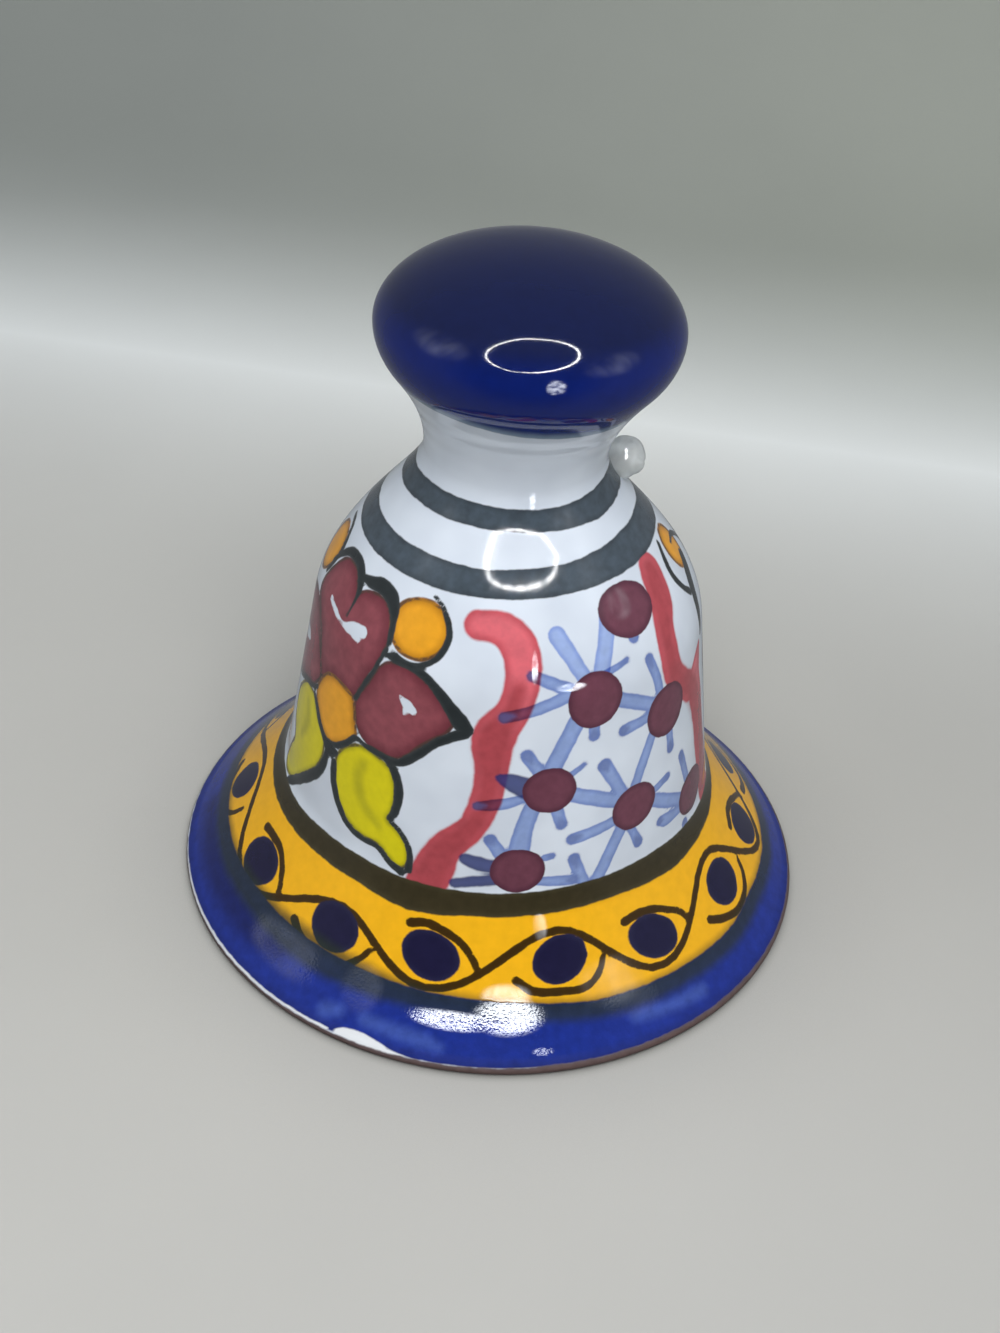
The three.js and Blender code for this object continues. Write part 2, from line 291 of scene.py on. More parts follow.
outside, inside = outerProfile(shell), innerProfile(shell)
outerSteps = np.linalg.norm(np.diff(outside, axis=0), axis=1)
outerRun = np.concatenate([[0], np.cumsum(outerSteps)])
innerSteps = np.linalg.norm(np.diff([outside[0]] + inside, axis=0), axis=1)
innerRun = -np.cumsum(innerSteps)
profile = [(r, 0, z) for r, z in inside[::-1] + outside]
profileRun = np.concatenate([innerRun[::-1], outerRun])


def runAt(height):  # mm along the outer profile, from the foot, at a height
    return np.interp(height, [z for r, z in outside], outerRun)


photoRight = Matrix.Rotation(math.radians(photoCamera["turn"]), 3, "Z") @ Vector((1, 0, 0))
glaze, glazeTree, glazeSpot = newMaterial("handPaintedTinGlaze")
bell = grow("bellShell", turnOnWheel, profile, {
    "Columns": shell["columns"], "Rail Radius": shell["rimRadius"] * mm,
    "Unevenness": shell["unevenness"], "Unevenness Size": shell["unevennessSize"] * mm, "Seed": shell["seed"],
    "Lean": photoRight * -shell["lean"] * mm, "Lean Height": shell["leanHeight"] * mm,
    "Lean Reach": shell["leanReach"] * mm, "Flip": True, "Finish": glaze}, marks={"run": profileRun})
print("shell turned:", len(bell.data.polygons), "faces")

# The painter's canvas: each point's azimuth from the photograph's front, its run up the profile and its radius
points = np.empty(len(bell.data.vertices) * 3)
bell.data.vertices.foreach_get("co", points)
points = points.reshape(-1, 3) / mm
run = np.empty(len(points))
bell.data.attributes["run"].data.foreach_get("value", run)
azimuth = np.degrees(np.arctan2(points[:, 0], -points[:, 1])) - photoCamera["turn"]
radius = np.hypot(points[:, 0], points[:, 1])
far = 4.0                # mm past which a stroke's depth isn't kept
panel, whole = 180, 360  # degrees after which a motif comes again
paint = {}
brushSeed = 11
rng = np.random.default_rng(brushSeed)


def lay(layer, depth):  # depth: mm inside the painted edge, below zero outside it
    depth = np.where(run >= 0, np.clip(depth, -far, far), -far)
    paint[layer] = np.maximum(paint.get(layer, -far), depth)


def smooth(path, closed=False, steps=5):
    p = np.array(path, float)
    ends = (p[-1:], p[:2]) if closed else (2 * p[:1] - p[1:2], 2 * p[-1:] - p[-2:-1])
    p = np.vstack([ends[0], p, ends[1]])
    t = np.linspace(0, 1, steps, endpoint=False)[:, None]
    spans = [0.5 * (2 * b + (c - a) * t + (2 * a - 5 * b + 4 * c - d) * t ** 2
                    + (3 * b - a - 3 * c + d) * t ** 3) for a, b, c, d in zip(p, p[1:], p[2:], p[3:])]
    return np.vstack(spans + [spans[0][:1] if closed else p[-2:-1]])


def around(angle, period):  # the same place in degrees from the nearest copy of a motif
    return (angle + period / 2) % period - period / 2


def strokeDepth(path, period):  # path rows: azimuth, height, half width
    depth = np.full(len(points), -far)
    line = np.array([(a, runAt(z), w) for a, z, w in path])
    for a, b in zip(line, line[1:]):
        near = (run > min(a[1], b[1]) - far - a[2]) & (run < max(a[1], b[1]) + far + a[2])
        r = radius[near]
        x = np.radians(around(azimuth[near] - a[0], period)) * r
        y = run[near] - a[1]
        dx, dy = np.radians(b[0] - a[0]) * r, b[1] - a[1]
        t = np.clip((x * dx + y * dy) / np.maximum(dx * dx + dy * dy, tiny), 0, 1)
        inside = a[2] + (b[2] - a[2]) * t - np.hypot(x - dx * t, y - dy * t)
        depth[near] = np.maximum(depth[near], inside)
    return depth


def fillDepth(outline, period):  # a closed outline of azimuth and height
    line = smooth(outline, closed=True)
    depth = strokeDepth([(a, z, 0) for a, z in line], period)
    middle = line[:, 0].mean()
    a = around(azimuth - middle, period)
    inside = np.zeros(len(points), bool)
    for (a0, z0), (a1, z1) in zip(line, line[1:]):
        y0, y1 = runAt(z0), runAt(z1)
        crosses = (y0 > run) != (y1 > run)
        level = np.where(crosses, (run - y0) / (y1 - y0 if y1 != y0 else 1), 0)
        inside ^= crosses & (a < a0 - middle + level * (a1 - a0))
    return np.where(inside, -depth, depth)


def ovalDepth(at, half, period, lean=0):  # half widths in mm, round and up
    x = np.radians(around(azimuth - at[0], period)) * radius
    y = run - runAt(at[1])
    turn = math.radians(lean)
    u, v = x * math.cos(turn) + y * math.sin(turn), y * math.cos(turn) - x * math.sin(turn)
    return (1 - np.hypot(u / half[0], v / half[1])) * min(half)


def edgeRun(edge):  # an edge by azimuth: pairs of azimuth and height, or one height
    rows = np.array(edge if isinstance(edge, list) else [(0, edge)], float)
    return runAt(np.interp(azimuth, rows[:, 0], rows[:, 1], period=whole))


def bandDepth(low, high):
    return np.minimum(run - edgeRun(low), edgeRun(high) - run)


def brush(layer, paths, period):  # strokes, each smoothed through its points
    for path in paths:
        lay(layer, strokeDepth(smooth(path), period))


# Bands and grounds, brushed on the turning wheel
grounds = {
    "neckBands": [([(-90, 59.4), (-55, 59.8), (0, 59.95), (50, 59.8), (80, 60.3), (180, 59.8)],
                   [(-80, 61.9), (-50, 62.2), (25, 62.1), (47, 62.5), (80, 63.2), (180, 62.4)]),
                  ([(-75, 53.5), (-18, 53.8), (4, 54.1), (35, 54.5), (80, 54.9), (180, 54.2)],
                   [(-75, 56.2), (-13, 56.4), (4, 56.7), (25, 57), (60, 57.8), (80, 57.9), (180, 56.8)])],
    "footBand": ([(-70, 13.85), (-47, 14.3), (-32, 14.4), (-26, 14.1), (-18, 13.8), (-11, 14.1), (-4, 14.5),
                  (23, 14.9), (35, 14.95), (52, 14.4), (75, 14.7), (90, 15.1), (180, 14.4)],
                 [(-66, 16.3), (-47, 17), (-35, 17.2), (-20, 17), (4, 17.3), (23, 17.7), (46, 17.9), (58, 17.6),
                  (75, 17.1), (180, 17)]),
    "skirtTop": 15.6,
    "skirtFoot": [(-66, 6.9), (-54, 7.2), (-26, 7.15), (-14, 7), (0, 6.9), (11, 6.6), (23, 6.05), (46, 5.8),
                  (58, 5.55), (70, 5.8), (85, 5.2), (180, 6), (260, 6.4)],
    "rimFoot": 1.3, "washDrop": 1, "lap": 1.2, "footFlat": 0.2,
    # half width of the wash; its extra width on the left is painted shade
    "washAndShadeHalf": [(-75, 1.5), (-50, 1.8), (-38, 2.2), (-26, 2), (-14, 1.4), (0, 1.3), (180, 1.3)],
    "knob": [(-60, 74.5), (-32, 74.1), (0, 73.1), (37, 72.6), (70, 72.7), (180, 73.8)], "knobTopPaintedShade": 82.5,
    "clay": [(-60, 1.15), (-25, 1.2), (-5, 1.3), (15, 1.42), (70, 1.42), (180, 1.35)],
}
for low, high in grounds["neckBands"]:
    lay("neckBandPaint", bandDepth(low, high))
lay("footBandPaint", bandDepth(*grounds["footBand"]))
pastSkirtFoot = run - edgeRun(grounds["skirtFoot"])
lay("skirtPaint", np.minimum(pastSkirtFoot + grounds["lap"], edgeRun(grounds["skirtTop"]) - run))
lay("rimPaint", bandDepth(grounds["rimFoot"], grounds["skirtFoot"]))
# A dark wash where the blue laps the yellow, made wider on the left as painted shade
washAndShadeHalf = np.interp(azimuth, *zip(*grounds["washAndShadeHalf"]), period=whole)
lay("borderWashAndPaintedShade", washAndShadeHalf - np.abs(pastSkirtFoot + grounds["washDrop"]))
lay("knobPaint", run - edgeRun(grounds["knob"]))
# Painted shade: the top of the knob darkened, standing in for a dark reflection from above
lay("knobTopPaintedShade", run - edgeRun(grounds["knobTopPaintedShade"]))
# Bare clay at the foot; its colour below is darkened with painted shade
lay("bareClay", np.maximum(edgeRun(grounds["clay"]) - run, -far))
paint["bareClay"] = np.where((run < 0) & (points[:, 2] < grounds["footFlat"]), far, paint["bareClay"])

# Two red ribbons frame each lattice panel; the panels repeat after half a turn
ribbons = {
    "front": [(-9, 51.5, 1.8), (-3, 51.5, 1.95), (2.6, 50.6, 2.15), (5.6, 48.4, 2.2), (5.2, 45, 2.05),
              (2.8, 42.2, 2.2), (-0.4, 40, 2.55), (-1.4, 38, 2.5), (-1.1, 35.4, 2.1), (-1.2, 32.6, 1.95),
              (-2.3, 29.8, 1.9), (-5, 26.4, 1.8), (-11, 23, 2.1), (-13.3, 20, 2.55), (-15.2, 17, 2.65)],
    "side": [(63, 53.6, 1.9), (61.5, 52.4, 2.2), (59.8, 50.6, 2.15), (56.6, 48.6, 1.9), (55.2, 46, 1.9),
             (56, 42.6, 1.9), (60.5, 39.9, 1.9), (66.5, 37.6, 2.1)],
    "fork": [(75.5, 41.4, 0.6), (73, 39.8, 1.4), (70.5, 37.4, 2.3), (72, 34.6, 2.4), (73.5, 31.3, 2.25),
             (74.7, 27, 2.3), (76.5, 23.6, 2.5), (80, 16.5, 3)],
}
loaded = [  # where the brush carried more colour
    [(4.6, 45.4, 0.9), (2.6, 42.4, 1.3), (0.2, 40.4, 1.8), (-1.3, 38.2, 2.2), (-1.1, 34, 1.5), (-2.2, 30, 1.3),
     (-5, 26.4, 1.4), (-11, 23, 1.8), (-13.3, 20, 2.2), (-15.2, 17, 2.4)],
    [(63, 53.4, 1.4), (61.5, 52.2, 1.8), (59.6, 50.4, 1.8), (56.7, 48.5, 1.5), (55.4, 46, 1.3),
     (56.2, 42.6, 1.4), (61, 39.8, 1.5), (68, 37, 1.9), (72, 33, 2), (74.5, 28, 2.1), (79, 18, 2.6)],
]
brush("ribbonPaint", ribbons.values(), panel)
brush("ribbonDeep", loaded, panel)

# The lattice: plum dots, blue links from dot to dot and short rays that end in a darker touch
lattice = {
    "tipHalf": (0.95, 0.3), "tipBack": 0.35,   # shares of a ray's half width at its tip, and of its last span
    "dots": [(43.5, 51.55, 4.15, 3.3), (26.9, 43.25, 3.6, 3.65), (52.9, 37.65, 3.8, 3.6),
             (14.7, 31.9, 3.35, 3.15), (40.2, 26.4, 3.55, 3.25), (66.4, 21.6, 3.75, 3.25),
             (7.5, 20.6, 3.45, 3.2)],
    "links": [
        [(33, 42.8, 1), (40, 41.3, 1), (49, 39.2, 0.95)],
        [(23.5, 42.8, 1.15), (20.7, 40.4, 1.15), (15.5, 35.4, 1.1), (13.5, 33.4, 1)],
        [(48.8, 36.8, 0.85), (45.8, 34.9, 0.8), (40.5, 29.8, 0.85), (39.5, 28, 0.85)],
        [(19, 31.3, 1), (28, 29.6, 1.1), (36, 28, 1)], [(45, 26.2, 0.95), (52, 24.4, 1.05), (60, 22.2, 1)],
        [(11, 30.5, 1.1), (9.4, 28.5, 1.1), (8, 25.5, 1.25), (7.4, 23, 1.4)],
        [(36, 24.5, 0.95), (31.9, 20.7, 0.95), (28.3, 17.3, 0.95)],
    ],
    "rays": [
        [(30, 46.1, 0.5), (38, 46.9, 0.42)],
        [(20, 44.9, 0.9), (12, 46.4, 0.75), (8.2, 46.9, 0.7)],
        [(19, 44.5, 0.85), (9, 42.9, 0.8), (1.2, 41.9, 0.75)],
        [(26.6, 41, 0.75), (26.6, 38.6, 0.78)], [(42.5, 50, 0.8), (42.3, 48.9, 0.8)],
        [(50, 40.3, 0.7), (48.5, 42.8, 0.72), (46.2, 45.9, 0.72)],
        [(46, 38.4, 0.75), (40, 38.2, 0.8), (36, 38.05, 0.85)],
        [(54, 34.5, 0.7), (54.5, 31.7, 0.75)], [(12.5, 34, 0.85), (8, 36.9, 0.85)],
        [(20, 33.7, 0.45), (24, 34.9, 0.36)],
        [(16.5, 29.5, 0.8), (18.2, 26.9, 0.8)], [(8, 31, 0.6), (2, 30.1, 0.8), (-4, 29.6, 0.65)],
        [(36, 28.9, 0.9), (33, 31.6, 0.9), (30, 34, 1)], [(46.5, 27.1, 0.55), (53, 27.8, 0.6)],
        [(34, 25.6, 0.8), (28, 25, 0.85), (21.3, 24.5, 0.85)], [(38.6, 23.7, 0.6), (41.5, 20.7, 0.78)],
        [(63.3, 24.4, 0.7), (60.1, 29.1, 0.72)], [(60, 21, 0.7), (53, 21.3, 1), (49.8, 21.8, 0.75)],
        [(3, 22.9, 0.85), (0, 25, 0.85)], [(14, 22.3, 0.5), (16, 22.5, 0.5)],
        [(12, 19, 0.6), (17, 18.7, 0.75), (22.2, 18.4, 0.75)], [(25, 17.6, 0.8), (21.9, 21.6, 0.8)],
        [(61.8, 17.2, 0.8), (61.8, 17.8, 0.8)],
    ],
    "pale": [[(27, 43.5, 1.1), (29.5, 47, 1.1), (35, 51.8, 1.1)],
             [(26, 44.5, 0.9), (21, 48, 0.95), (16.2, 50.8, 1.1)]],
    "dark": [
        [(8.5, 32.4, 1.5), (4.5, 33.2, 1.2), (1.3, 33.8, 0.55)],
        [(2, 21.1, 1), (-2.5, 21.4, 1.05), (-5.6, 21.8, 0.9)],
        [(2, 19.2, 0.8), (-3.5, 18.7, 0.8), (-8, 18.1, 0.7)],
    ],
}
for a, z, wide, tall in lattice["dots"]:
    lay("dotPaint", ovalDepth((a, z), (wide, tall), panel))
brush("rayPaint", lattice["links"] + lattice["rays"], panel)
for path in lattice["rays"]:
    (a0, z0, _), (a1, z1, w1) = path[-2:]
    back = lattice["tipBack"]
    full, faded = (w1 * share for share in lattice["tipHalf"])
    lay("rayTips", strokeDepth([(a1, z1, full), (a1 + (a0 - a1) * back, z1 + (z0 - z1) * back, faded)], panel))
brush("paleRays", lattice["pale"], panel)
brush("loadedRays", lattice["dark"], panel)

# The flower: plum petals, an orange heart and buds, lemon leaves, with brush lines round them
flower = {
    "petals": [
        [(-77, 46), (-75, 48.5), (-71.4, 50.4), (-65.8, 51.1), (-60.8, 50.9), (-57, 49.9), (-55, 49.4),
         (-52, 50.2), (-47, 50.7), (-42, 50.4), (-38.3, 49.4), (-36.4, 47.9), (-36.1, 46.6), (-37.6, 44.1),
         (-40, 41.9), (-42.6, 39.6), (-44, 38.2), (-48.3, 38.2), (-53.3, 38.4), (-57.6, 37.8), (-61.4, 36.6),
         (-64.5, 39.8), (-67, 42.2), (-70.8, 43.8), (-75, 44.7)],
        [(-43.3, 37.9), (-40, 40.8), (-37, 43.6), (-33.9, 45), (-29.5, 45.4), (-24.5, 45.1), (-20, 44.1),
         (-15.8, 42.7), (-12.2, 40.9), (-13.5, 39), (-17.6, 37.4), (-21.4, 35.7), (-24.5, 34.1), (-28.2, 33),
         (-32, 33), (-36.4, 33.1), (-40, 34), (-42.6, 35.7)],
        [(-61.5, 36.8), (-65, 39.4), (-69, 42.6), (-73, 43.9), (-80, 44.2), (-88, 43.2), (-95, 40.5),
         (-97, 36.5), (-93, 32.4), (-86, 30.4), (-79.5, 31.4), (-72, 32.8), (-67, 33.4), (-63.5, 34.8)],
    ],
    "gaps": [[(-66, 46.4, 0.3), (-61, 45.9, 0.35), (-55, 45.5, 0.3), (-50, 46, 0.9), (-46, 46.4, 0.75)],
             [(-49, 45.6, 0.6), (-46.5, 45.2, 0.3)], [(-28.3, 41.5, 0.25), (-26, 40.8, 0.65), (-24, 40.3, 0.5)],
             [(-26, 40.6, 0.5), (-26.5, 39.6, 0.25)], [(-37.2, 44.2, 0.12), (-39.5, 42.2, 0.2)],
             [(-76, 37.6, 0.3), (-80, 37.4, 0.9), (-88, 36.2, 1.2), (-93, 35, 0.8)]],
    "heart": [(-62.3, 34.1), (-60, 36.6), (-56.4, 38.1), (-52, 38.5), (-45.8, 38.2), (-43.9, 37.2),
              (-42.6, 35.1), (-41.4, 33.2), (-43.9, 31.6), (-48.2, 30.1), (-52, 29.4), (-55.8, 30.1),
              (-59.5, 31.9)],
    "buds": [((-27.7, 49.6), (3.85, 3.55)), ((-87, 48.9), (3.6, 3.3)), ((87.5, 52.2), (2.6, 3)),
             ((152, 49.7), (3.8, 3.5))],
    "leaves": [
        [(-70.8, 32.6), (-67, 32.9), (-63.2, 32.7), (-58.2, 30.4), (-54.5, 29.1), (-53.6, 27.6), (-54.5, 25.4),
         (-57.6, 23.2), (-62, 21), (-65.8, 19.1), (-70, 17.3), (-75, 16.8), (-78.9, 17.6), (-76.4, 20.4),
         (-73.9, 22.3), (-75, 23.8), (-77.6, 25.1), (-78.9, 27.2), (-78.2, 29.1), (-75, 31)],
        [(-47, 29.1), (-44.5, 30.7), (-40, 32.2), (-35.8, 32.4), (-31.4, 32), (-28.3, 31.2), (-26.6, 29.3),
         (-26.2, 27.4), (-26.8, 25.4), (-27.6, 24.3), (-25.2, 23.6), (-22, 22.2), (-20.6, 20.4), (-20.8, 18.8),
         (-23, 18.1), (-25.8, 18.8), (-29.5, 20.1), (-34.5, 20.1), (-38.9, 20.7), (-42.6, 21.9), (-45.8, 23.8),
         (-47.3, 26), (-47.6, 27.9)],
    ],
    "leafShade": [[(-67, 30.6, 0.6), (-65, 28.4, 1), (-68, 25.4, 0.6)],
                  [(-37, 30.4, 0.5), (-38.5, 28, 0.8), (-36, 25, 0.8), (-30, 22.8, 0.5)]],
    "fine": 0.2, "swell": 0.2,   # mm: half of the thin line round each shape, and how far its colour passes it
    "lines": [  # bold strokes of a loaded brush
        [(-78, 48.8, 0.4), (-75, 50.3, 0.55), (-71.4, 51.3, 0.65), (-65.8, 51.7, 0.7), (-60.8, 51.5, 0.7),
         (-57, 50.6, 0.65), (-55.2, 49.8, 0.5), (-54.6, 48.4, 0.25), (-55, 46.6, 0.2)],
        [(-57.5, 51, 0.35), (-52, 51.2, 0.8), (-47, 51.6, 1), (-42, 51.3, 1), (-38.9, 50.5, 0.8),
         (-36.8, 49.2, 0.5), (-35.6, 47, 0.35)],
        [(-35.6, 46.4, 0.3), (-38, 43.4, 0.3), (-41, 40.6, 0.3), (-43.6, 38, 0.35)],
        [(-35.4, 45.8, 0.35), (-32, 45.6, 0.45), (-26.4, 45.6, 0.5), (-21.4, 45, 0.55), (-17, 43.7, 0.7),
         (-13.2, 42, 0.9), (-10.3, 40.5, 1.1), (-8.2, 39.7, 0.75)],
        [(-9, 39.2, 0.8), (-12.5, 38.3, 0.7), (-16, 37.2, 0.6), (-19.5, 35.6, 0.6), (-23.3, 33.8, 0.65),
         (-26.5, 32.7, 0.55), (-30, 32.6, 0.4)],
        [(-26, 53, 0.2), (-22, 52.3, 0.3), (-18.4, 50.8, 0.42), (-17.5, 49.4, 0.45), (-19.5, 47.4, 0.4),
         (-24, 46.1, 0.35), (-29, 45.9, 0.3), (-34, 46.3, 0.3)],
        [(-92, 52.5, 0.3), (-85, 52.3, 0.4), (-79, 51, 0.45), (-76.8, 49.3, 0.45), (-78.4, 47.2, 0.4)],
        [(-86, 30, 0.4), (-77, 31.5, 0.4), (-71, 32.9, 0.4), (-66, 33.5, 0.4), (-62.4, 34.4, 0.35)],
        [(-64, 33.4, 0.35), (-60.5, 31.9, 0.45), (-57, 30.3, 0.5), (-53, 29.2, 0.5), (-48.5, 29.8, 0.45),
         (-44.5, 31.3, 0.45), (-41.4, 32.9, 0.4), (-38, 32.8, 0.4), (-34, 32.7, 0.45), (-30, 32.5, 0.5)],
        [(-30.5, 32.4, 0.4), (-28, 31.7, 0.6), (-25.8, 29.9, 0.65), (-25.2, 27.8, 0.65), (-25.8, 25.6, 0.6),
         (-27, 24.4, 0.4), (-24, 23.4, 0.4), (-21.3, 21.9, 0.4), (-20.1, 20.2, 0.45), (-20.2, 18.2, 0.55)],
        [(-48.2, 27.4, 0.6), (-47.3, 24.8, 0.65), (-44, 22.2, 0.6), (-39.5, 20.3, 0.5), (-34.5, 19.7, 0.45),
         (-29.5, 19.7, 0.4), (-25.8, 18.4, 0.5), (-22, 17.6, 0.6)],
        [(-52, 29.3, 0.5), (-52, 27.2, 0.6), (-53.5, 24.6, 0.75), (-57.5, 22.2, 0.8), (-62.5, 19.9, 0.75),
         (-67, 17.9, 0.7), (-71, 16.4, 0.6)],
        [(-54, 29, 0.4), (-50.8, 28.5, 1), (-48, 28.9, 0.5)],
    ],
    "sideLines": [  # on the right of the ribbon only
        [(78.3, 54.2, 0.35), (75.6, 53.3, 0.42), (73.2, 52, 0.5), (73, 50.8, 0.5), (74.9, 49.4, 0.5),
         (78.4, 48, 0.5)],
        [(90, 50.4, 0.9), (84, 48.8, 1.1), (81, 46.8, 1), (79.4, 44.4, 0.8), (78.5, 42.4, 0.45)]],
}


def outlined(layer, depth):
    lay(layer, depth + flower["swell"])
    lay("fineLine", flower["fine"] - np.abs(depth))


for petal in flower["petals"]:
    outlined("petalPaint", fillDepth(petal, panel))
outlined("orangePaint", fillDepth(flower["heart"], panel))
for at, half in flower["buds"]:
    outlined("orangePaint", ovalDepth(at, half, whole))
for leaf in flower["leaves"]:
    outlined("lemonPaint", fillDepth(leaf, panel))
brush("petalGaps", flower["gaps"], panel)
brush("leafShade", flower["leafShade"], panel)
brush("blackLine", flower["lines"], panel)
brush("blackLine", flower["sideLines"], whole)

# The skirt's vine: a wave that goes over one dot and under the next, with a short lid on each dot's other side
vine = {
    "dots": [  # azimuth, height, and the wave's height there
        (-87, 9, 12.1), (-59.5, 9, 6.4), (-33, 9.4, 11.55), (-10.7, 10.2, 7.25), (17, 10.3, 13.1),
        (39.5, 9.7, 6.85), (64.5, 9.2, 12.7), (86, 8.7, 5.9), (109, 9.3, 12.4), (135, 9.6, 6.7),
        (161, 9.7, 12.7), (187, 9.6, 6.8), (214, 9.4, 12.4), (243, 9.2, 6.5)],
    "dotHalf": (3.75, 2.95), "dotSpread": 0.05, "dotLean": 25,   # mm, share, degrees
    "lineHalf": 0.5, "lidShake": 0.25, "waveSteps": 9,
    "overLid": [(-6, 2.4, 0.6), (-2, 2.75, 0.58), (2.5, 2.6, 0.52), (6, 1.7, 0.48), (9, 0.4, 0.46),
                (10.3, -0.7, 0.4)],
    "underLid": [(-9.5, -1.7, 0.6), (-6, -2.5, 0.56), (-1, -3.1, 0.52), (4.4, -2.8, 0.48), (7.8, -1.7, 0.46),
                 (9.5, -0.4, 0.4)],
}
for i, (a, z, crest) in enumerate(vine["dots"]):
    after, _, nextCrest = vine["dots"][(i + 1) % len(vine["dots"])]
    span = (after - a) % whole
    steps = np.linspace(0, 1, vine["waveSteps"])
    heights = crest + (nextCrest - crest) * (0.5 - 0.5 * np.cos(np.pi * steps))
    lay("vineLine", strokeDepth([(a + span * s, h, vine["lineHalf"]) for s, h in zip(steps, heights)], whole))
    lid = vine["underLid" if crest > z else "overLid"]
    shake = rng.uniform(-vine["lidShake"], vine["lidShake"], len(lid))
    brush("vineLine", [[(a + da, z + dz + s, w) for (da, dz, w), s in zip(lid, shake)]], whole)
    half = np.array(vine["dotHalf"]) * rng.uniform(1 - vine["dotSpread"], 1 + vine["dotSpread"], 2)
    lay("skirtDots", ovalDepth((a, z), half, whole, rng.uniform(-vine["dotLean"], vine["dotLean"])))

# Touches on the rim: painted shade darkening the blue on the left, thinned blue with a painted sheen in its
# right stroke, and places where it has worn off the white glaze
rimTouches = {
    # painted shade: the blue darkened on the left
    "rimPaintedShade": [[(-88, 4, 1.4), (-68, 4.2, 2.2), (-52, 4.4, 2.2), (-42, 4.6, 1.2)]],
    "thinBlueAndPaintedSheen": [[(-27.5, 2.5, 0.9), (-25, 3, 0.7)], [(-20, 3.1, 0.7), (-10, 2.8, 0.9), (-6, 2.4, 0.5)],
                 # painted sheen: this lighter stroke on the right stands in for a soft reflection
                 [(30, 3.6, 0.6), (45, 3, 0.8)]],
    "wornEdge": [[(-24.3, 1.4, 0.25), (-22.5, 1.6, 0.6), (-19.5, 1.6, 0.75), (-16, 1.45, 0.5), (-13, 1.3, 0.22),
                  (-10, 1.2, 0.08)],
                 [(-75, 1.2, 0.14), (-50, 1.25, 0.2), (-35, 1.3, 0.17), (-25.5, 1.35, 0.15)]],
}
for layer, paths in rimTouches.items():
    brush(layer, paths, whole)

for layer, depth in paint.items():
    bell.data.attributes.new(layer, "FLOAT", "POINT").data.foreach_set("value", depth.astype(np.float32))
print("paint laid:", len(paint), "layers")

# Tin-glazed earthenware, thrown, dipped in white glaze and painted with a brush before firing:
# a deep even gloss, colours that pool at their edges and thin out where the brush was dry
brushwork = [
    # layer, colour at the edge, colour inside, mm from edge to inside, softness mm, cover, streakiness
    ("ribbonPaint", "#bb3e49", "#d65d67", 1.2, 0.22, 0.95, 0.10),
    ("ribbonDeep", "#993a41", "#993a41", 1.0, 0.90, 0.76, 0.10),
    ("paleRays", "#96ace6", "#b4c6f0", 0.7, 0.14, 0.94, 0.08),
    ("rayPaint", "#7d93cf", "#a0b4e2", 0.7, 0.14, 0.94, 0.08),
    ("rayTips", "#55639a", "#55639a", 0.6, 0.40, 0.60, 0.05),
    ("loadedRays", "#262f66", "#323d78", 0.8, 0.20, 0.92, 0.08),
    ("dotPaint", "#56303f", "#6b3e4d", 1.0, 0.10, 1.00, 0.10),
    ("petalPaint", "#6a303a", "#8a4851", 2.2, 0.12, 1.00, 0.12),
    ("petalGaps", "#d9e2ee", "#d9e2ee", 0.5, 0.12, 1.00, 0.00),
    ("orangePaint", "#b0741a", "#e8a228", 1.4, 0.14, 1.00, 0.06),
    ("lemonPaint", "#9a9314", "#d8cc0c", 1.1, 0.14, 1.00, 0.05),
    ("leafShade", "#938d18", "#938d18", 0.8, 0.80, 0.50, 0.05),
    ("fineLine", "#4a3c34", "#4a3c34", 0.3, 0.14, 0.85, 0.10),
    ("blackLine", "#373c3e", "#2b3032", 0.5, 0.12, 1.00, 0.10),
    ("neckBandPaint", "#363f47", "#3f4a54", 0.8, 0.12, 0.98, 0.22),
    ("skirtPaint", "#d3970f", "#ebae1a", 1.6, 0.25, 1.00, 0.04),
    ("footBandPaint", "#3f3a28", "#36301f", 0.8, 0.14, 1.00, 0.10),
    ("vineLine", "#43300f", "#3a280d", 0.4, 0.10, 1.00, 0.05),
    ("skirtDots", "#24233f", "#1c1a38", 0.8, 0.12, 1.00, 0.08),
    ("rimPaint", "#1a2870", "#1c2f86", 1.6, 0.16, 1.00, 0.14),
    # painted shade darkening the rim's blue on the left
    ("rimPaintedShade", "#141a4a", "#141a4a", 0.8, 1.80, 0.75, 0.10),
    # thinned blue, and on the right a painted sheen
    ("thinBlueAndPaintedSheen", "#4a62b0", "#4a62b0", 0.8, 0.90, 0.60, 0.15),
    # the blue's wash over the yellow, with painted shade on the left
    ("borderWashAndPaintedShade", "#262f26", "#262f26", 0.8, 0.90, 0.80, 0.10),
    ("knobPaint", "#7b8da0", "#0a1d66", 2.0, 0.20, 1.00, 0.06),
    # painted shade on the knob's top, in place of a dark reflection
    ("knobTopPaintedShade", "#0c153a", "#0c153a", 1.0, 2.60, 0.90, 0.06),
    ("wornEdge", "#dfe2e6", "#dfe2e6", 0.4, 0.15, 1.00, 0.00),
    # bare clay, its colour darkened with painted shade
    ("bareClay", "#5d5052", "#5c4a48", 0.6, 0.15, 1.00, 0.12),
]
glazeFacts = {
    "white": "#dbe3ee", "thinWhite": "#cfd7e3", "pooled": (0.35, 0.65), "streaked": (0.3, 0.7),
    "sheer": ("rayPaint", "paleRays"),   # thin colours, which the glaze shows through
    "noises": {  # mm across, detail
        "pool": (9, 2), "mottle": (1.4, 3), "edge": (1.6, 2), "ripple": (5.5, 1), "peel": (0.34, 1)},
    "edgeShake": 0.16, "ripple": 0.05, "peel": 0.015, "ring": 0.035, "ringStep": 2.7, "ringFrom": 65,
    "ringTo": 74, "gloss": 0.07, "clayRough": 0.85, "ior": 1.48,
}


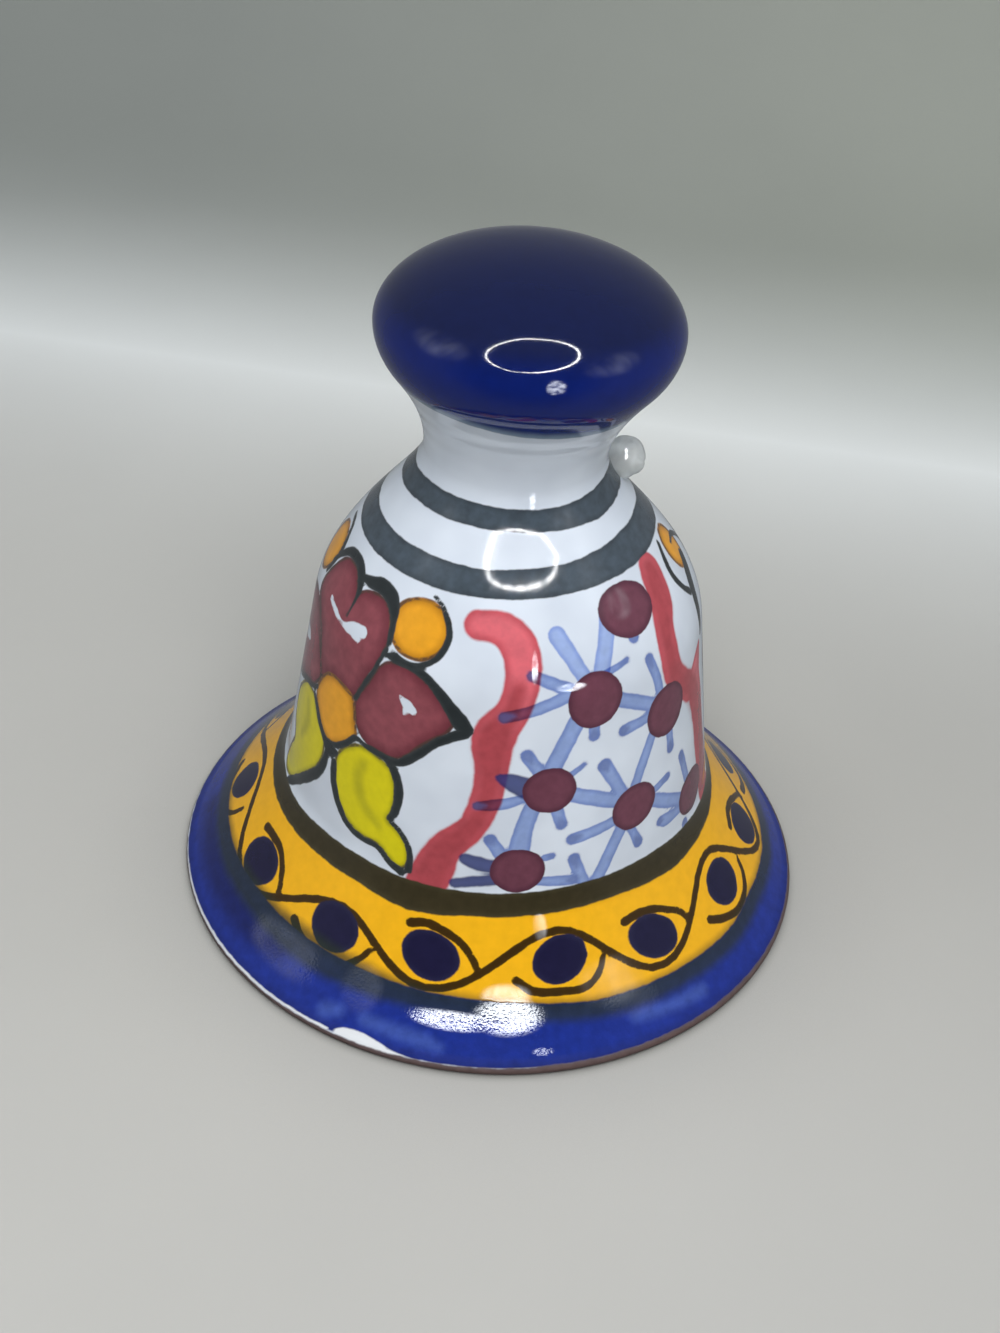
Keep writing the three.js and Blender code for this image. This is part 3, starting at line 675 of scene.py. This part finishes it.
def glazeMaterial(tree, spot, facts):
    noises = {}
    for name, (size, detail) in facts["noises"].items():
        noises[name] = addNode(tree, "TexNoise", {"Scale": 1 / (size * mm), "Detail": detail}, {"Vector": spot})
    low, high = facts["pooled"]
    pooled = addNode(tree, "MapRange", {1: low, 2: high}, {0: noises["pool"]})
    colour = addNode(tree, "Mix", {6: facts["thinWhite"], 7: facts["white"]}, {0: pooled}, data_type="RGBA")
    shake = addNode(tree, "Math", {1: 0.5}, {0: noises["edge"]}, operation="SUBTRACT")
    shake = addNode(tree, "Math", {1: facts["edgeShake"] * 2}, {0: shake}, operation="MULTIPLY")
    masks = {}
    low, high = facts["streaked"]
    for layer, edge, body, pool, soft, cover, dry in brushwork:
        depth = addNode(tree, "Attribute", attribute_name=layer)
        uneven = addNode(tree, "Math", links={0: depth.outputs["Fac"], 1: shake}, operation="ADD")
        mask = addNode(tree, "MapRange", {1: -soft, 2: soft, 4: cover}, {0: uneven},
                       interpolation_type="SMOOTHSTEP")
        inner = addNode(tree, "MapRange", {2: pool}, {0: uneven}, interpolation_type="SMOOTHSTEP")
        tone = addNode(tree, "Mix", {6: edge, 7: body}, {0: inner}, data_type="RGBA")
        streak = addNode(tree, "MapRange", {1: low, 2: high, 3: 1 - dry, 4: 1 + dry}, {0: noises["mottle"]})
        tone = addNode(tree, "VectorMath", links={0: tone, "Scale": streak}, operation="SCALE")
        colour = addNode(tree, "Mix", links={0: mask, 6: colour, 7: tone}, data_type="RGBA",
                         blend_type="MULTIPLY" if layer in facts["sheer"] else "MIX")
        masks[layer] = mask
    rough = addNode(tree, "MapRange", {3: facts["gloss"], 4: facts["clayRough"]}, {0: masks["bareClay"]})
    height = addNode(tree, "SeparateXYZ", links={0: spot}).outputs["Z"]
    turn = addNode(tree, "Math", {1: 2 * math.pi / (facts["ringStep"] * mm)}, {0: height}, operation="MULTIPLY")
    rings = addNode(tree, "Math", links={0: turn}, operation="SINE")
    middle = (facts["ringTo"] + facts["ringFrom"]) / 2 * mm
    reach = (facts["ringTo"] - facts["ringFrom"]) / 2 * mm
    off = addNode(tree, "Math", {1: middle}, {0: height}, operation="SUBTRACT")
    off = addNode(tree, "Math", links={0: off}, operation="ABSOLUTE")
    fade = addNode(tree, "MapRange", {1: reach, 2: 0.0, 4: facts["ring"]}, {0: off},
                   interpolation_type="SMOOTHSTEP")
    relief = addNode(tree, "Math", {1: facts["ripple"]}, {0: noises["ripple"]}, operation="MULTIPLY")
    relief = addNode(tree, "Math", links={0: rings, 1: fade, 2: relief}, operation="MULTIPLY_ADD")
    peel = addNode(tree, "Math", {1: facts["peel"]}, {0: masks["rimPaint"]}, operation="MULTIPLY")
    relief = addNode(tree, "Math", links={0: noises["peel"], 1: peel, 2: relief}, operation="MULTIPLY_ADD")
    bump = addNode(tree, "Bump", {"Distance": mm}, {"Height": relief})
    surface = addNode(tree, "BsdfPrincipled", {"IOR": facts["ior"]},
                      {"Base Color": colour, "Roughness": rough, "Normal": bump})
    addNode(tree, "OutputMaterial", links={"Surface": surface})


glazeMaterial(glazeTree, glazeSpot, glazeFacts)
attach(bell, "bell")
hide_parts("bell_shell")
print("glaze mixed")

# Clapper ball: earthenware rolled by hand and fired bare, bored for its wire; sizes in mm
ballFacts = {"radius": 8, "height": 21, "bore": 1.0, "mouth": 0.5, "mouthReach": 1.5, "ease": 0.1, "row": 0.6,
             "boreRow": 2.4, "columns": 64, "unevenness": 0.035, "unevennessSize": 7, "seed": 2.0}


def ballProfile(f):
    reach = math.asin(f["bore"] / f["radius"])
    line = arc((0, f["height"]), (f["radius"], f["radius"]), math.pi / 2 - reach, reach - math.pi / 2, f["row"])
    top, low = f["height"] + f["radius"], f["height"] - f["radius"]
    line = [p for p in line if low + f["mouth"] < p[1] < top - f["mouth"]]
    line += bend([line[-1], (f["bore"], line[-1][1] + f["ease"]), (f["bore"], low + f["mouthReach"])], f["row"])
    line += bend([line[-1], (f["bore"], top - f["mouthReach"])], f["boreRow"])
    return line + bend([line[-1], (f["bore"], line[0][1] - f["ease"]), line[0]], f["row"])[:-1]


# Bare fired clay: a dry, open skin with grog showing as pale and dark specks
clayFacts = {"clay": "#a8674f", "pale": "#c08a70", "dark": "#7c4838", "grog": 0.9, "cloud": 6, "grain": 0.35,
             "clouded": (0.35, 0.65), "specked": (0.6, 0.72), "bump": 0.35, "depth": 0.3, "rough": 0.88,
             "ior": 1.45}


def bareClay(f):
    material, tree, spot = newMaterial("bareFiredEarthenware")
    cloud, grog, grain = (addNode(tree, "TexNoise", {"Scale": 1 / (f[k] * mm), "Detail": 3.0},
                                  {"Vector": spot}) for k in ("cloud", "grog", "grain"))
    broad = addNode(tree, "MapRange", {1: f["clouded"][0], 2: f["clouded"][1]}, {0: cloud})
    colour = addNode(tree, "Mix", {6: f["clay"], 7: f["pale"]}, {0: broad}, data_type="RGBA")
    speck = addNode(tree, "MapRange", {1: f["specked"][0], 2: f["specked"][1]}, {0: grog})
    colour = addNode(tree, "Mix", {7: f["dark"]}, {0: speck, 6: colour}, data_type="RGBA")
    bump = addNode(tree, "Bump", {"Strength": f["bump"], "Distance": f["depth"] * mm}, {"Height": grain})
    surface = addNode(tree, "BsdfPrincipled", {"Roughness": f["rough"], "IOR": f["ior"]},
                      {"Base Color": colour, "Normal": bump})
    addNode(tree, "OutputMaterial", links={"Surface": surface})
    return material


ball = grow("clapperBall", turnOnWheel, [(r, 0, z) for r, z in ballProfile(ballFacts)], {
    "Columns": ballFacts["columns"], "Rail Radius": ballFacts["radius"] * mm,
    "Unevenness": ballFacts["unevenness"], "Unevenness Size": ballFacts["unevennessSize"] * mm,
    "Seed": ballFacts["seed"], "Flip": False, "Finish": bareClay(clayFacts)}, closed=True)
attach(ball, "ball")
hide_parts("clapper_ball")

# Pin, link and clapper wire: steel wire, bent cold; mm, with the shank's ends measured from the upper eye
wireFacts = {"wire": 0.7, "pin": 0.8, "sides": 20, "step": 0.25, "pinHeight": 62,
             "linkHalf": 2.9, "linkStraight": 1.55, "linkHeight": 59.35,
             "eyeHeight": 54.2, "eyeRadius": 2.4, "eyeFrom": -40, "eyeTo": 240, "handle": 1.01,
             "neckLength": 2.6, "shankTop": -5.0, "shankBottom": -41.5,
             "linkTurn": 6, "shankStep": 2.0, "pinSteps": 12}

# Drawn steel wire: a satin metal with fine die lines along it and a few dull spots
steelFacts = {"steel": "#b4b5b3", "dull": "#8d8c88", "spot": 2.5, "line": 0.12, "dulled": (0.52, 0.7),
              "rough": (0.24, 0.5), "bump": 0.12, "depth": 0.1}


def drawnSteel(f):
    material, tree, spot = newMaterial("drawnSteelWire")
    spots, lines = (addNode(tree, "TexNoise", {"Scale": 1 / (f[k] * mm), "Detail": 2.0},
                            {"Vector": spot}) for k in ("spot", "line"))
    dull = addNode(tree, "MapRange", {1: f["dulled"][0], 2: f["dulled"][1]}, {0: spots})
    colour = addNode(tree, "Mix", {6: f["steel"], 7: f["dull"]}, {0: dull}, data_type="RGBA")
    rough = addNode(tree, "MapRange", {3: f["rough"][0], 4: f["rough"][1]}, {0: dull})
    bump = addNode(tree, "Bump", {"Strength": f["bump"], "Distance": f["depth"] * mm}, {"Height": lines})
    surface = addNode(tree, "BsdfPrincipled", {"Metallic": 1.0},
                      {"Base Color": colour, "Roughness": rough, "Normal": bump})
    addNode(tree, "OutputMaterial", links={"Surface": surface})
    return material


def linkPath(f):
    line = []
    for t in np.radians(np.arange(0, whole, f["linkTurn"])):
        straight = math.copysign(f["linkStraight"], math.sin(t + tiny))
        line.append((0, f["linkHalf"] * math.cos(t), f["linkHeight"] + f["linkHalf"] * math.sin(t) + straight))
    return line


def clapperPath(f):
    start, stop = math.radians(f["eyeFrom"]), math.radians(f["eyeTo"])
    eye = arc((0, 0), (f["eyeRadius"],) * 2, start, stop, f["step"])
    lead = eye[-1] + f["handle"] * np.array((-math.sin(stop), math.cos(stop)))
    eye += bend([eye[-1], lead, (0, f["shankTop"] + f["neckLength"] / 2), (0, f["shankTop"])], f["step"])
    shank = bend([eye[-1], (0, f["shankBottom"])], f["shankStep"])[:-1]
    foot = [np.array((-x, f["shankTop"] + f["shankBottom"] - z)) for x, z in reversed(eye)]
    return [(x, 0, f["eyeHeight"] + z) for x, z in eye + shank + foot]


steel = drawnSteel(steelFacts)
pinLow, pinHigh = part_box("neck_pin")
wires = {
    "neckPin": ("neck_pin", "bell", wireFacts["pin"], False,
                [(x, 0, wireFacts["pinHeight"])
                 for x in np.linspace(pinLow.x / mm, pinHigh.x / mm, wireFacts["pinSteps"])]),
    "hangerLink": ("hanger_link", "link", wireFacts["wire"], True, linkPath(wireFacts)),
    "clapperWire": ("clapper_wire", "clapper", wireFacts["wire"], False, clapperPath(wireFacts)),
}
for name, (node, body, gauge, closed, path) in wires.items():
    piece = grow(name, drawWire, path, {
        "Wire Radius": gauge * mm, "Sides": wireFacts["sides"], "Finish": steel}, closed=closed)
    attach(piece, body)
    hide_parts(node)
print("clapper hung")

# The clear drop that seals the pin's end: a hand-set bead, lumpy and a little slumped
dropFacts = {"radius": 2.6, "at": (13.3, 0, 62.1), "tall": 1.14, "foot": 0.5, "slump": 0.12, "levels": 5,
             "lump": 0.55, "lumpSize": 1.7, "lumpSeed": (3, 1, 7),
             "fold": 0.12, "foldAt": -0.45, "foldSway": 0.3, "foldWaves": 4, "foldHalf": 0.22}


def sealingDrop(f):
    mesh = bpy.data.meshes.new("clearDrop")
    shape = bmesh.new()
    bmesh.ops.create_icosphere(shape, subdivisions=f["levels"], radius=1)
    for v in shape.verts:
        way = v.co.normalized()
        lump = noise.noise(way * (f["radius"] / f["lumpSize"]) + Vector(f["lumpSeed"]))
        crease = f["foldAt"] - f["foldSway"] * math.sin(f["foldWaves"] * way.z)
        fold = max(0.0, 1 - abs(way.y - crease) / f["foldHalf"])
        reach = f["radius"] - f["lump"] * (0.5 - 0.5 * lump) - f["fold"] * fold ** 2
        reach += f["foot"] * max(0.0, -way.x) ** 2
        v.co = Vector(f["at"]) + Vector((way.x, way.y, way.z * f["tall"])) * reach
        v.co.x += f["slump"] * (way.z < 0) * way.z * max(0.0, way.x)
    for v in shape.verts:
        v.co *= mm
    for face in shape.faces:
        face.smooth = True
    shape.to_mesh(mesh)
    shape.free()
    return newObject("clearDrop", mesh)


# Clear casting resin, set in place: glassy skin, faint milkiness inside
resinFacts = {"clear": "#f6f8f8", "milky": "#e8edee", "milk": 1.2, "clouded": (0.35, 0.7),
              "rough": (0.02, 0.07), "through": 0.42, "ior": 1.4}


def clearResin(f):
    material, tree, spot = newMaterial("castClearResin")
    milk = addNode(tree, "TexNoise", {"Scale": 1 / (f["milk"] * mm), "Detail": 2.0}, {"Vector": spot})
    colour = addNode(tree, "Mix", {6: f["clear"], 7: f["milky"]}, {0: milk}, data_type="RGBA")
    (low, high), (least, most) = f["clouded"], f["rough"]
    rough = addNode(tree, "MapRange", {1: low, 2: high, 3: least, 4: most}, {0: milk})
    surface = addNode(tree, "BsdfPrincipled", {"Transmission Weight": f["through"], "IOR": f["ior"]},
                      {"Base Color": colour, "Roughness": rough})
    addNode(tree, "OutputMaterial", links={"Surface": surface})
    return material


drop = sealingDrop(dropFacts)
drop.data.materials.append(clearResin(resinFacts))
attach(drop, "bell")
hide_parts("clear_drop")
print("drop set")

# Stage: a pale paper sweep with a painted band of light behind the bell and painted grey shade where it rises;
# sizes in mm
stageFacts = {
    "floorBack": 230, "front": 1500, "half": 1500, "curve": 150, "curveTurn": 3, "high": 900,
    "floor": "#c3c2be", "floorRight": "#b7b6b2", "bright": "#f2f5f5", "wall": "#9b9f9b", "wallRight": "#acb0a8",
    "lighterFrom": 5, "lightest": 134, "grey": 262, "skew": 0.14, "side": 100, "rise": 2.9, "fall": 2.0,
    "fibre": 90, "fibreRange": (0.3, 0.7), "fibreShade": (0.97, 1.03), "rough": 0.75,
    "shadow": 0.75, "shadowReach": 22, "shadowRays": 4,
}


def paperSweep(s):
    line = [(-s["front"], 0.0), (s["floorBack"], 0.0)]
    line += [(s["floorBack"] + s["curve"] * math.sin(t), s["curve"] * (1 - math.cos(t)))
             for t in np.radians(np.arange(s["curveTurn"], 90 + s["curveTurn"], s["curveTurn"]))]
    line.append((line[-1][0], s["high"]))
    verts = [Vector((x, y, z)) * mm for y, z in line for x in (-s["half"], s["half"])]
    faces = [(2 * i, 2 * i + 1, 2 * i + 3, 2 * i + 2) for i in range(len(line) - 1)]
    mesh = bpy.data.meshes.new("paperSweep")
    mesh.from_pydata(verts, [], faces)
    mesh.shade_smooth()
    sweep = newObject("paperSweep", mesh)
    sweep.rotation_euler = (0, 0, math.radians(photoCamera["turn"]))
    sweep.visible_glossy = False   # its edges would show as hard lines in the glaze
    material, tree, spot = newMaterial("pressedPaper")
    back = addNode(tree, "VectorMath", {1: (s["skew"], 1, 0)}, {0: spot}, operation="DOT_PRODUCT")
    fibre = addNode(tree, "TexNoise", {"Scale": 1 / (s["fibre"] * mm), "Detail": 4.0}, {"Vector": spot})
    # painted light and shade: a bright band behind the bell that falls off to the grey of the rise
    rise = addNode(tree, "MapRange", {1: s["lighterFrom"] * mm, 2: s["lightest"] * mm}, {0: back})
    rise = addNode(tree, "Math", {1: s["rise"]}, {0: rise}, operation="POWER")
    fall = addNode(tree, "MapRange", {1: s["grey"] * mm, 2: s["lightest"] * mm}, {0: back})
    fall = addNode(tree, "Math", {1: s["fall"]}, {0: fall}, operation="POWER")
    # painted light: the floor a little darker and the wall a little lighter towards the right
    side = addNode(tree, "SeparateXYZ", links={0: spot})
    side = addNode(tree, "MapRange", {1: -s["side"] * mm, 2: s["side"] * mm}, {0: side})
    floor = addNode(tree, "Mix", {6: s["floor"], 7: s["floorRight"]}, {0: side}, data_type="RGBA")
    colour = addNode(tree, "Mix", {7: s["bright"]}, {0: rise, 6: floor}, data_type="RGBA")
    wall = addNode(tree, "Mix", {6: s["wall"], 7: s["wallRight"]}, {0: side}, data_type="RGBA")
    colour = addNode(tree, "Mix", links={0: fall, 6: wall, 7: colour}, data_type="RGBA")
    (low, high), (least, most) = s["fibreRange"], s["fibreShade"]
    shade = addNode(tree, "MapRange", {1: low, 2: high, 3: least, 4: most}, {0: fibre})
    near = addNode(tree, "AmbientOcclusion", {"Distance": s["shadowReach"] * mm}, samples=s["shadowRays"])
    near = addNode(tree, "MapRange", {3: 1 - s["shadow"]}, {0: near.outputs["AO"]})
    shade = addNode(tree, "Math", links={0: shade, 1: near}, operation="MULTIPLY")
    colour = addNode(tree, "VectorMath", links={0: colour, "Scale": shade}, operation="SCALE")
    surface = addNode(tree, "BsdfPrincipled", {"Roughness": s["rough"]}, {"Base Color": colour})
    addNode(tree, "OutputMaterial", links={"Surface": surface})
    mesh.materials.append(material)
    return sweep


paperSweep(stageFacts)

# Light: a soft room that is dimmer behind the camera, a soft box, and small lamps that show only in the gloss
lampFacts = {
    "room": {"colour": "#dfe3e6", "light": 0.82, "dim": 0.18, "lift": 8, "turn": 0, "wide": 0.35, "near": 0.9,
             "gloss": 0.375},
    "softBox": {"size": 420, "power": 2.7, "distance": 600, "lift": 57, "turn": 8},
    "rings": {  # one ring of light, set once for each place that mirrors it
        "knobRing": {"distance": 105.4, "lift": 54, "turn": -2.3, "face": 22.7, "faceTurn": 20.7,
                     "radius": 53.4, "aim": (0, 0, 84), "reach": (26, 14), "tube": 0.8},
        "shoulderRing": {"distance": 93.8, "lift": 62.7, "turn": 12.6, "face": 15.2, "faceTurn": 9.2,
                         "radius": 64.4, "aim": (5, 18, 56), "reach": (14, 8), "tube": 0.34},
    },
    "ringTube": {"from": 83, "strength": 60, "grain": 1.2, "grainRange": (0.35, 0.65), "turn": 5, "sides": 12},
    "snoot": 0.55,   # the share of its reach within which a lamp keeps its full light
    "cardLight": {"colour": "#f3f8ff", "hairRange": (0.38, 0.62), "thinnest": 0.08},
    "cards": {  # aim (azimuth, radius, height), lift, turn, distance, half sizes, light, reach, edge, streaks
        "leftVeil": ((0, 0, 83), 27, -66, 90, (42, 36), 2.2, (40, 40), 0.9, (24, 110)),
        "rightVeil": ((0, 0, 83), 20, 62, 90, (42, 32), 2.2, (40, 40), 0.9, (24, 110)),
        "knobGlare": ((10.6, 18, 80.9), -4, 21, 300, (45, 110), 18, (1.3, 1.9), 0.3, (25, 45)),
        "neckLine": ((9.3, 11.5, 63.2), 0, 18.5, 430, (150, 230), 26, (0.4, 1.9), 0.3, (60, 60)),
        "ribbonSpark": ((9.1, 23, 47.6), 20, 18, 430, (50, 110), 36, (0.45, 2.1), 0.3, (60, 60)),
        "dotSpark": ((19.6, 24, 45.4), 0, 37, 430, (90, 100), 36, (2.1, 0.55), 0.3, (60, 60)),
        "skirtGlare": ((13, 32, 13.6), 29.4, 26, 430, (30, 30), 18, (1.2, 1.6), 0.6, (60, 60)),
        "windowGlint": ((-4.5, 39.2, 4.8), 39.3, -9, 430, (120, 18), 70, (6.6, 1.0), 0.3, (14, 6)),
        "sillGlint": ((6, 38.2, 5.4), 38.3, 12, 430, (115, 26), 70, (5.2, 1.8), 0.4, (14, 6)),
        "fanGlint": ((5.5, 37, 7), 37, 11, 430, (90, 24), 26, (3.8, 1.6), 0.5, (14, 6)),
        "lowGlint": ((12, 41.6, 2.4), 40.5, 24, 430, (30, 14), 40, (1.6, 0.4), 0.4, (400, 400)),
        "leftSheen": ((-40, 38.5, 5), 24, -78, 300, (90, 60), 1.8, (9, 2.4), 0.3, (60, 200)),
        "innerSheen": ((-22.5, 37.5, 5.5), 33.5, -44, 300, (50, 40), 2.0, (3.4, 2.6), 0.3, (60, 200)),
        "rightSheen": ((31, 38.8, 4.9), 31, 60, 300, (70, 30), 1.5, (6, 1.6), 0.5, (60, 200)),
        "dotSheen": ((41, 19.8, 52.4), 26, 83, 300, (60, 60), 2.6, (2.4, 1.8), 0.5, (60, 60)),
        "skirtSheen": ((27.5, 36.2, 7.3), 31, 53, 300, (80, 40), 4.2, (6.5, 2.6), 0.6, (60, 200)),
        "dropGlint": ((102, 13.3, 62.2), 36, 4, 80, (20, 18), 110, (4, 4), 0.4, (5, 9)),
    },
}


def lampWay(lift, turn):  # the way from the bell to a lamp, from angles in degrees
    lift, turn = math.radians(lift), math.radians(turn + photoCamera["turn"])
    return Vector((math.sin(turn) * math.cos(lift), -math.cos(turn) * math.cos(lift), math.sin(lift)))


def softRoom(f):
    world = bpy.data.worlds.new("softRoom")
    world.use_nodes = True
    tree = world.node_tree
    tree.nodes.clear()
    way = addNode(tree, "TexCoord").outputs["Generated"]
    front = addNode(tree, "VectorMath", {1: lampWay(f["lift"], f["turn"])}, {0: way}, operation="DOT_PRODUCT")
    dim = addNode(tree, "MapRange", {1: f["wide"], 2: f["near"], 3: f["light"], 4: f["dim"]}, {0: front},
                  interpolation_type="SMOOTHSTEP")
    mirrored = addNode(tree, "LightPath").outputs["Is Glossy Ray"]
    share = addNode(tree, "MapRange", {3: 1.0, 4: f["gloss"]}, {0: mirrored})
    dim = addNode(tree, "Math", links={0: dim, 1: share}, operation="MULTIPLY")
    light = addNode(tree, "Background", {"Color": f["colour"]}, {"Strength": dim})
    addNode(tree, "OutputWorld", links={"Surface": light})
    scene.world = world


def softBox(f):  # lights the matt side of things
    data = bpy.data.lights.new("softBox", "AREA")
    data.shape, data.size, data.energy = "DISK", f["size"] * mm, f["power"]
    lamp = newObject("softBox", data)
    way = lampWay(f["lift"], f["turn"])
    lamp.location = way * f["distance"] * mm
    lamp.rotation_euler = (-way).to_track_quat("-Z", "Y").to_euler()
    lamp.visible_glossy = False


def glossOnly(lamp):
    lamp.visible_camera = lamp.visible_diffuse = lamp.visible_transmission = lamp.visible_shadow = False


def aimPoint(azimuth, radius, height):  # azimuth in the photograph
    return lampWay(0, azimuth) * radius + Vector((0, 0, height))


def snoot(tree, aim, reach):  # keeps light within so many mm across and up of the place that it is aimed at
    seen = addNode(tree, "NewGeometry")
    gone = addNode(tree, "VectorMath", {1: aimPoint(*aim) * mm}, {0: seen.outputs["Position"]},
                   operation="SUBTRACT")
    long = addNode(tree, "LightPath").outputs["Ray Length"]
    came = addNode(tree, "VectorMath", links={0: seen.outputs["Incoming"], "Scale": long}, operation="SCALE")
    off = addNode(tree, "VectorMath", links={0: gone, 1: came}, operation="ADD")
    across = addNode(tree, "VectorMath", {1: lampWay(0, aim[0] + 90) / (reach[0] * mm)}, {0: off},
                     operation="DOT_PRODUCT")
    up = addNode(tree, "VectorMath", {1: (0, 0, 1 / (reach[1] * mm))}, {0: off}, operation="DOT_PRODUCT")
    both = addNode(tree, "CombineXYZ", links={0: across, 1: up})
    out = addNode(tree, "VectorMath", links={0: both}, operation="LENGTH")
    return addNode(tree, "MapRange", {1: 1.0, 2: lampFacts["snoot"]}, {0: out}, interpolation_type="SMOOTHSTEP")


def ringLamp(name, f, tube):
    middle = Vector((0, 0, tube["from"])) + lampWay(f["lift"], f["turn"]) * f["distance"]
    face = lampWay(f["face"], f["faceTurn"])
    side = Vector((0, 0, 1)).cross(face).normalized()
    other = face.cross(side)
    path = [middle + (side * math.cos(t) + other * math.sin(t)) * f["radius"]
            for t in np.radians(np.arange(0, whole, tube["turn"]))]
    material, tree, spot = newMaterial(name)
    grain = addNode(tree, "TexNoise", {"Scale": 1 / (tube["grain"] * mm), "Detail": 1.0}, {"Vector": spot})
    low, high = tube["grainRange"]
    power = addNode(tree, "MapRange", {1: low, 2: high, 4: 2 * tube["strength"]}, {0: grain})
    power = addNode(tree, "Math", links={0: power, 1: snoot(tree, f["aim"], f["reach"])}, operation="MULTIPLY")
    light = addNode(tree, "Emission", links={"Strength": power})
    addNode(tree, "OutputMaterial", links={"Surface": light})
    return grow(name, drawWire, path, {
        "Wire Radius": f["tube"] * mm, "Sides": tube["sides"], "Finish": material}, closed=True)


# A snooted card with soft edges and streaks
def lampCard(name, facts, aim, lift, turn, distance, half, strength, reach, soft, streak):
    mesh = bpy.data.meshes.new(name)
    corners = [(x * half[0] * mm, y * half[1] * mm, 0) for x, y in ((-1, -1), (1, -1), (1, 1), (-1, 1))]
    mesh.from_pydata(corners, [], [(0, 1, 2, 3)])
    card = newObject(name, mesh)
    way = lampWay(lift, turn)
    card.matrix_world = (-way).to_track_quat("Z", "Y").to_matrix().to_4x4()
    card.matrix_world.translation = (aimPoint(*aim) + way * distance) * mm
    material, tree, spot = newMaterial(name)
    across = addNode(tree, "VectorMath", {1: (1 / (half[0] * mm), 1 / (half[1] * mm), 0)}, {0: spot},
                     operation="MULTIPLY")
    edge = addNode(tree, "TexGradient", links={0: across}, gradient_type="SPHERICAL")
    glow = addNode(tree, "MapRange", {2: soft}, {0: edge.outputs["Fac"]}, interpolation_type="SMOOTHSTEP")
    drawn = addNode(tree, "VectorMath", {1: (1 / (streak[0] * mm), 1 / (streak[1] * mm), 0)}, {0: spot},
                    operation="MULTIPLY")
    hair = addNode(tree, "TexNoise", {"Scale": 1.0, "Detail": 2.0}, {"Vector": drawn})
    low, high = facts["hairRange"]
    hair = addNode(tree, "MapRange", {1: low, 2: high, 3: facts["thinnest"]}, {0: hair})
    shown = addNode(tree, "Math", links={0: glow, 1: hair}, operation="MULTIPLY")
    shown = addNode(tree, "Math", links={0: shown, 1: snoot(tree, aim, reach)}, operation="MULTIPLY")
    light = addNode(tree, "Emission", {"Color": facts["colour"], "Strength": strength})
    clear = addNode(tree, "BsdfTransparent")
    surface = addNode(tree, "MixShader", links={0: shown, 1: clear, 2: light})
    addNode(tree, "OutputMaterial", links={"Surface": surface})
    mesh.materials.append(material)
    return card


softRoom(lampFacts["room"])
softBox(lampFacts["softBox"])
for name, ring in lampFacts["rings"].items():
    glossOnly(ringLamp(name, ring, lampFacts["ringTube"]))
for name, card in lampFacts["cards"].items():
    glossOnly(lampCard(name, lampFacts["cardLight"], *card))
print("stage lit")

scene.view_settings.view_transform = "Standard"
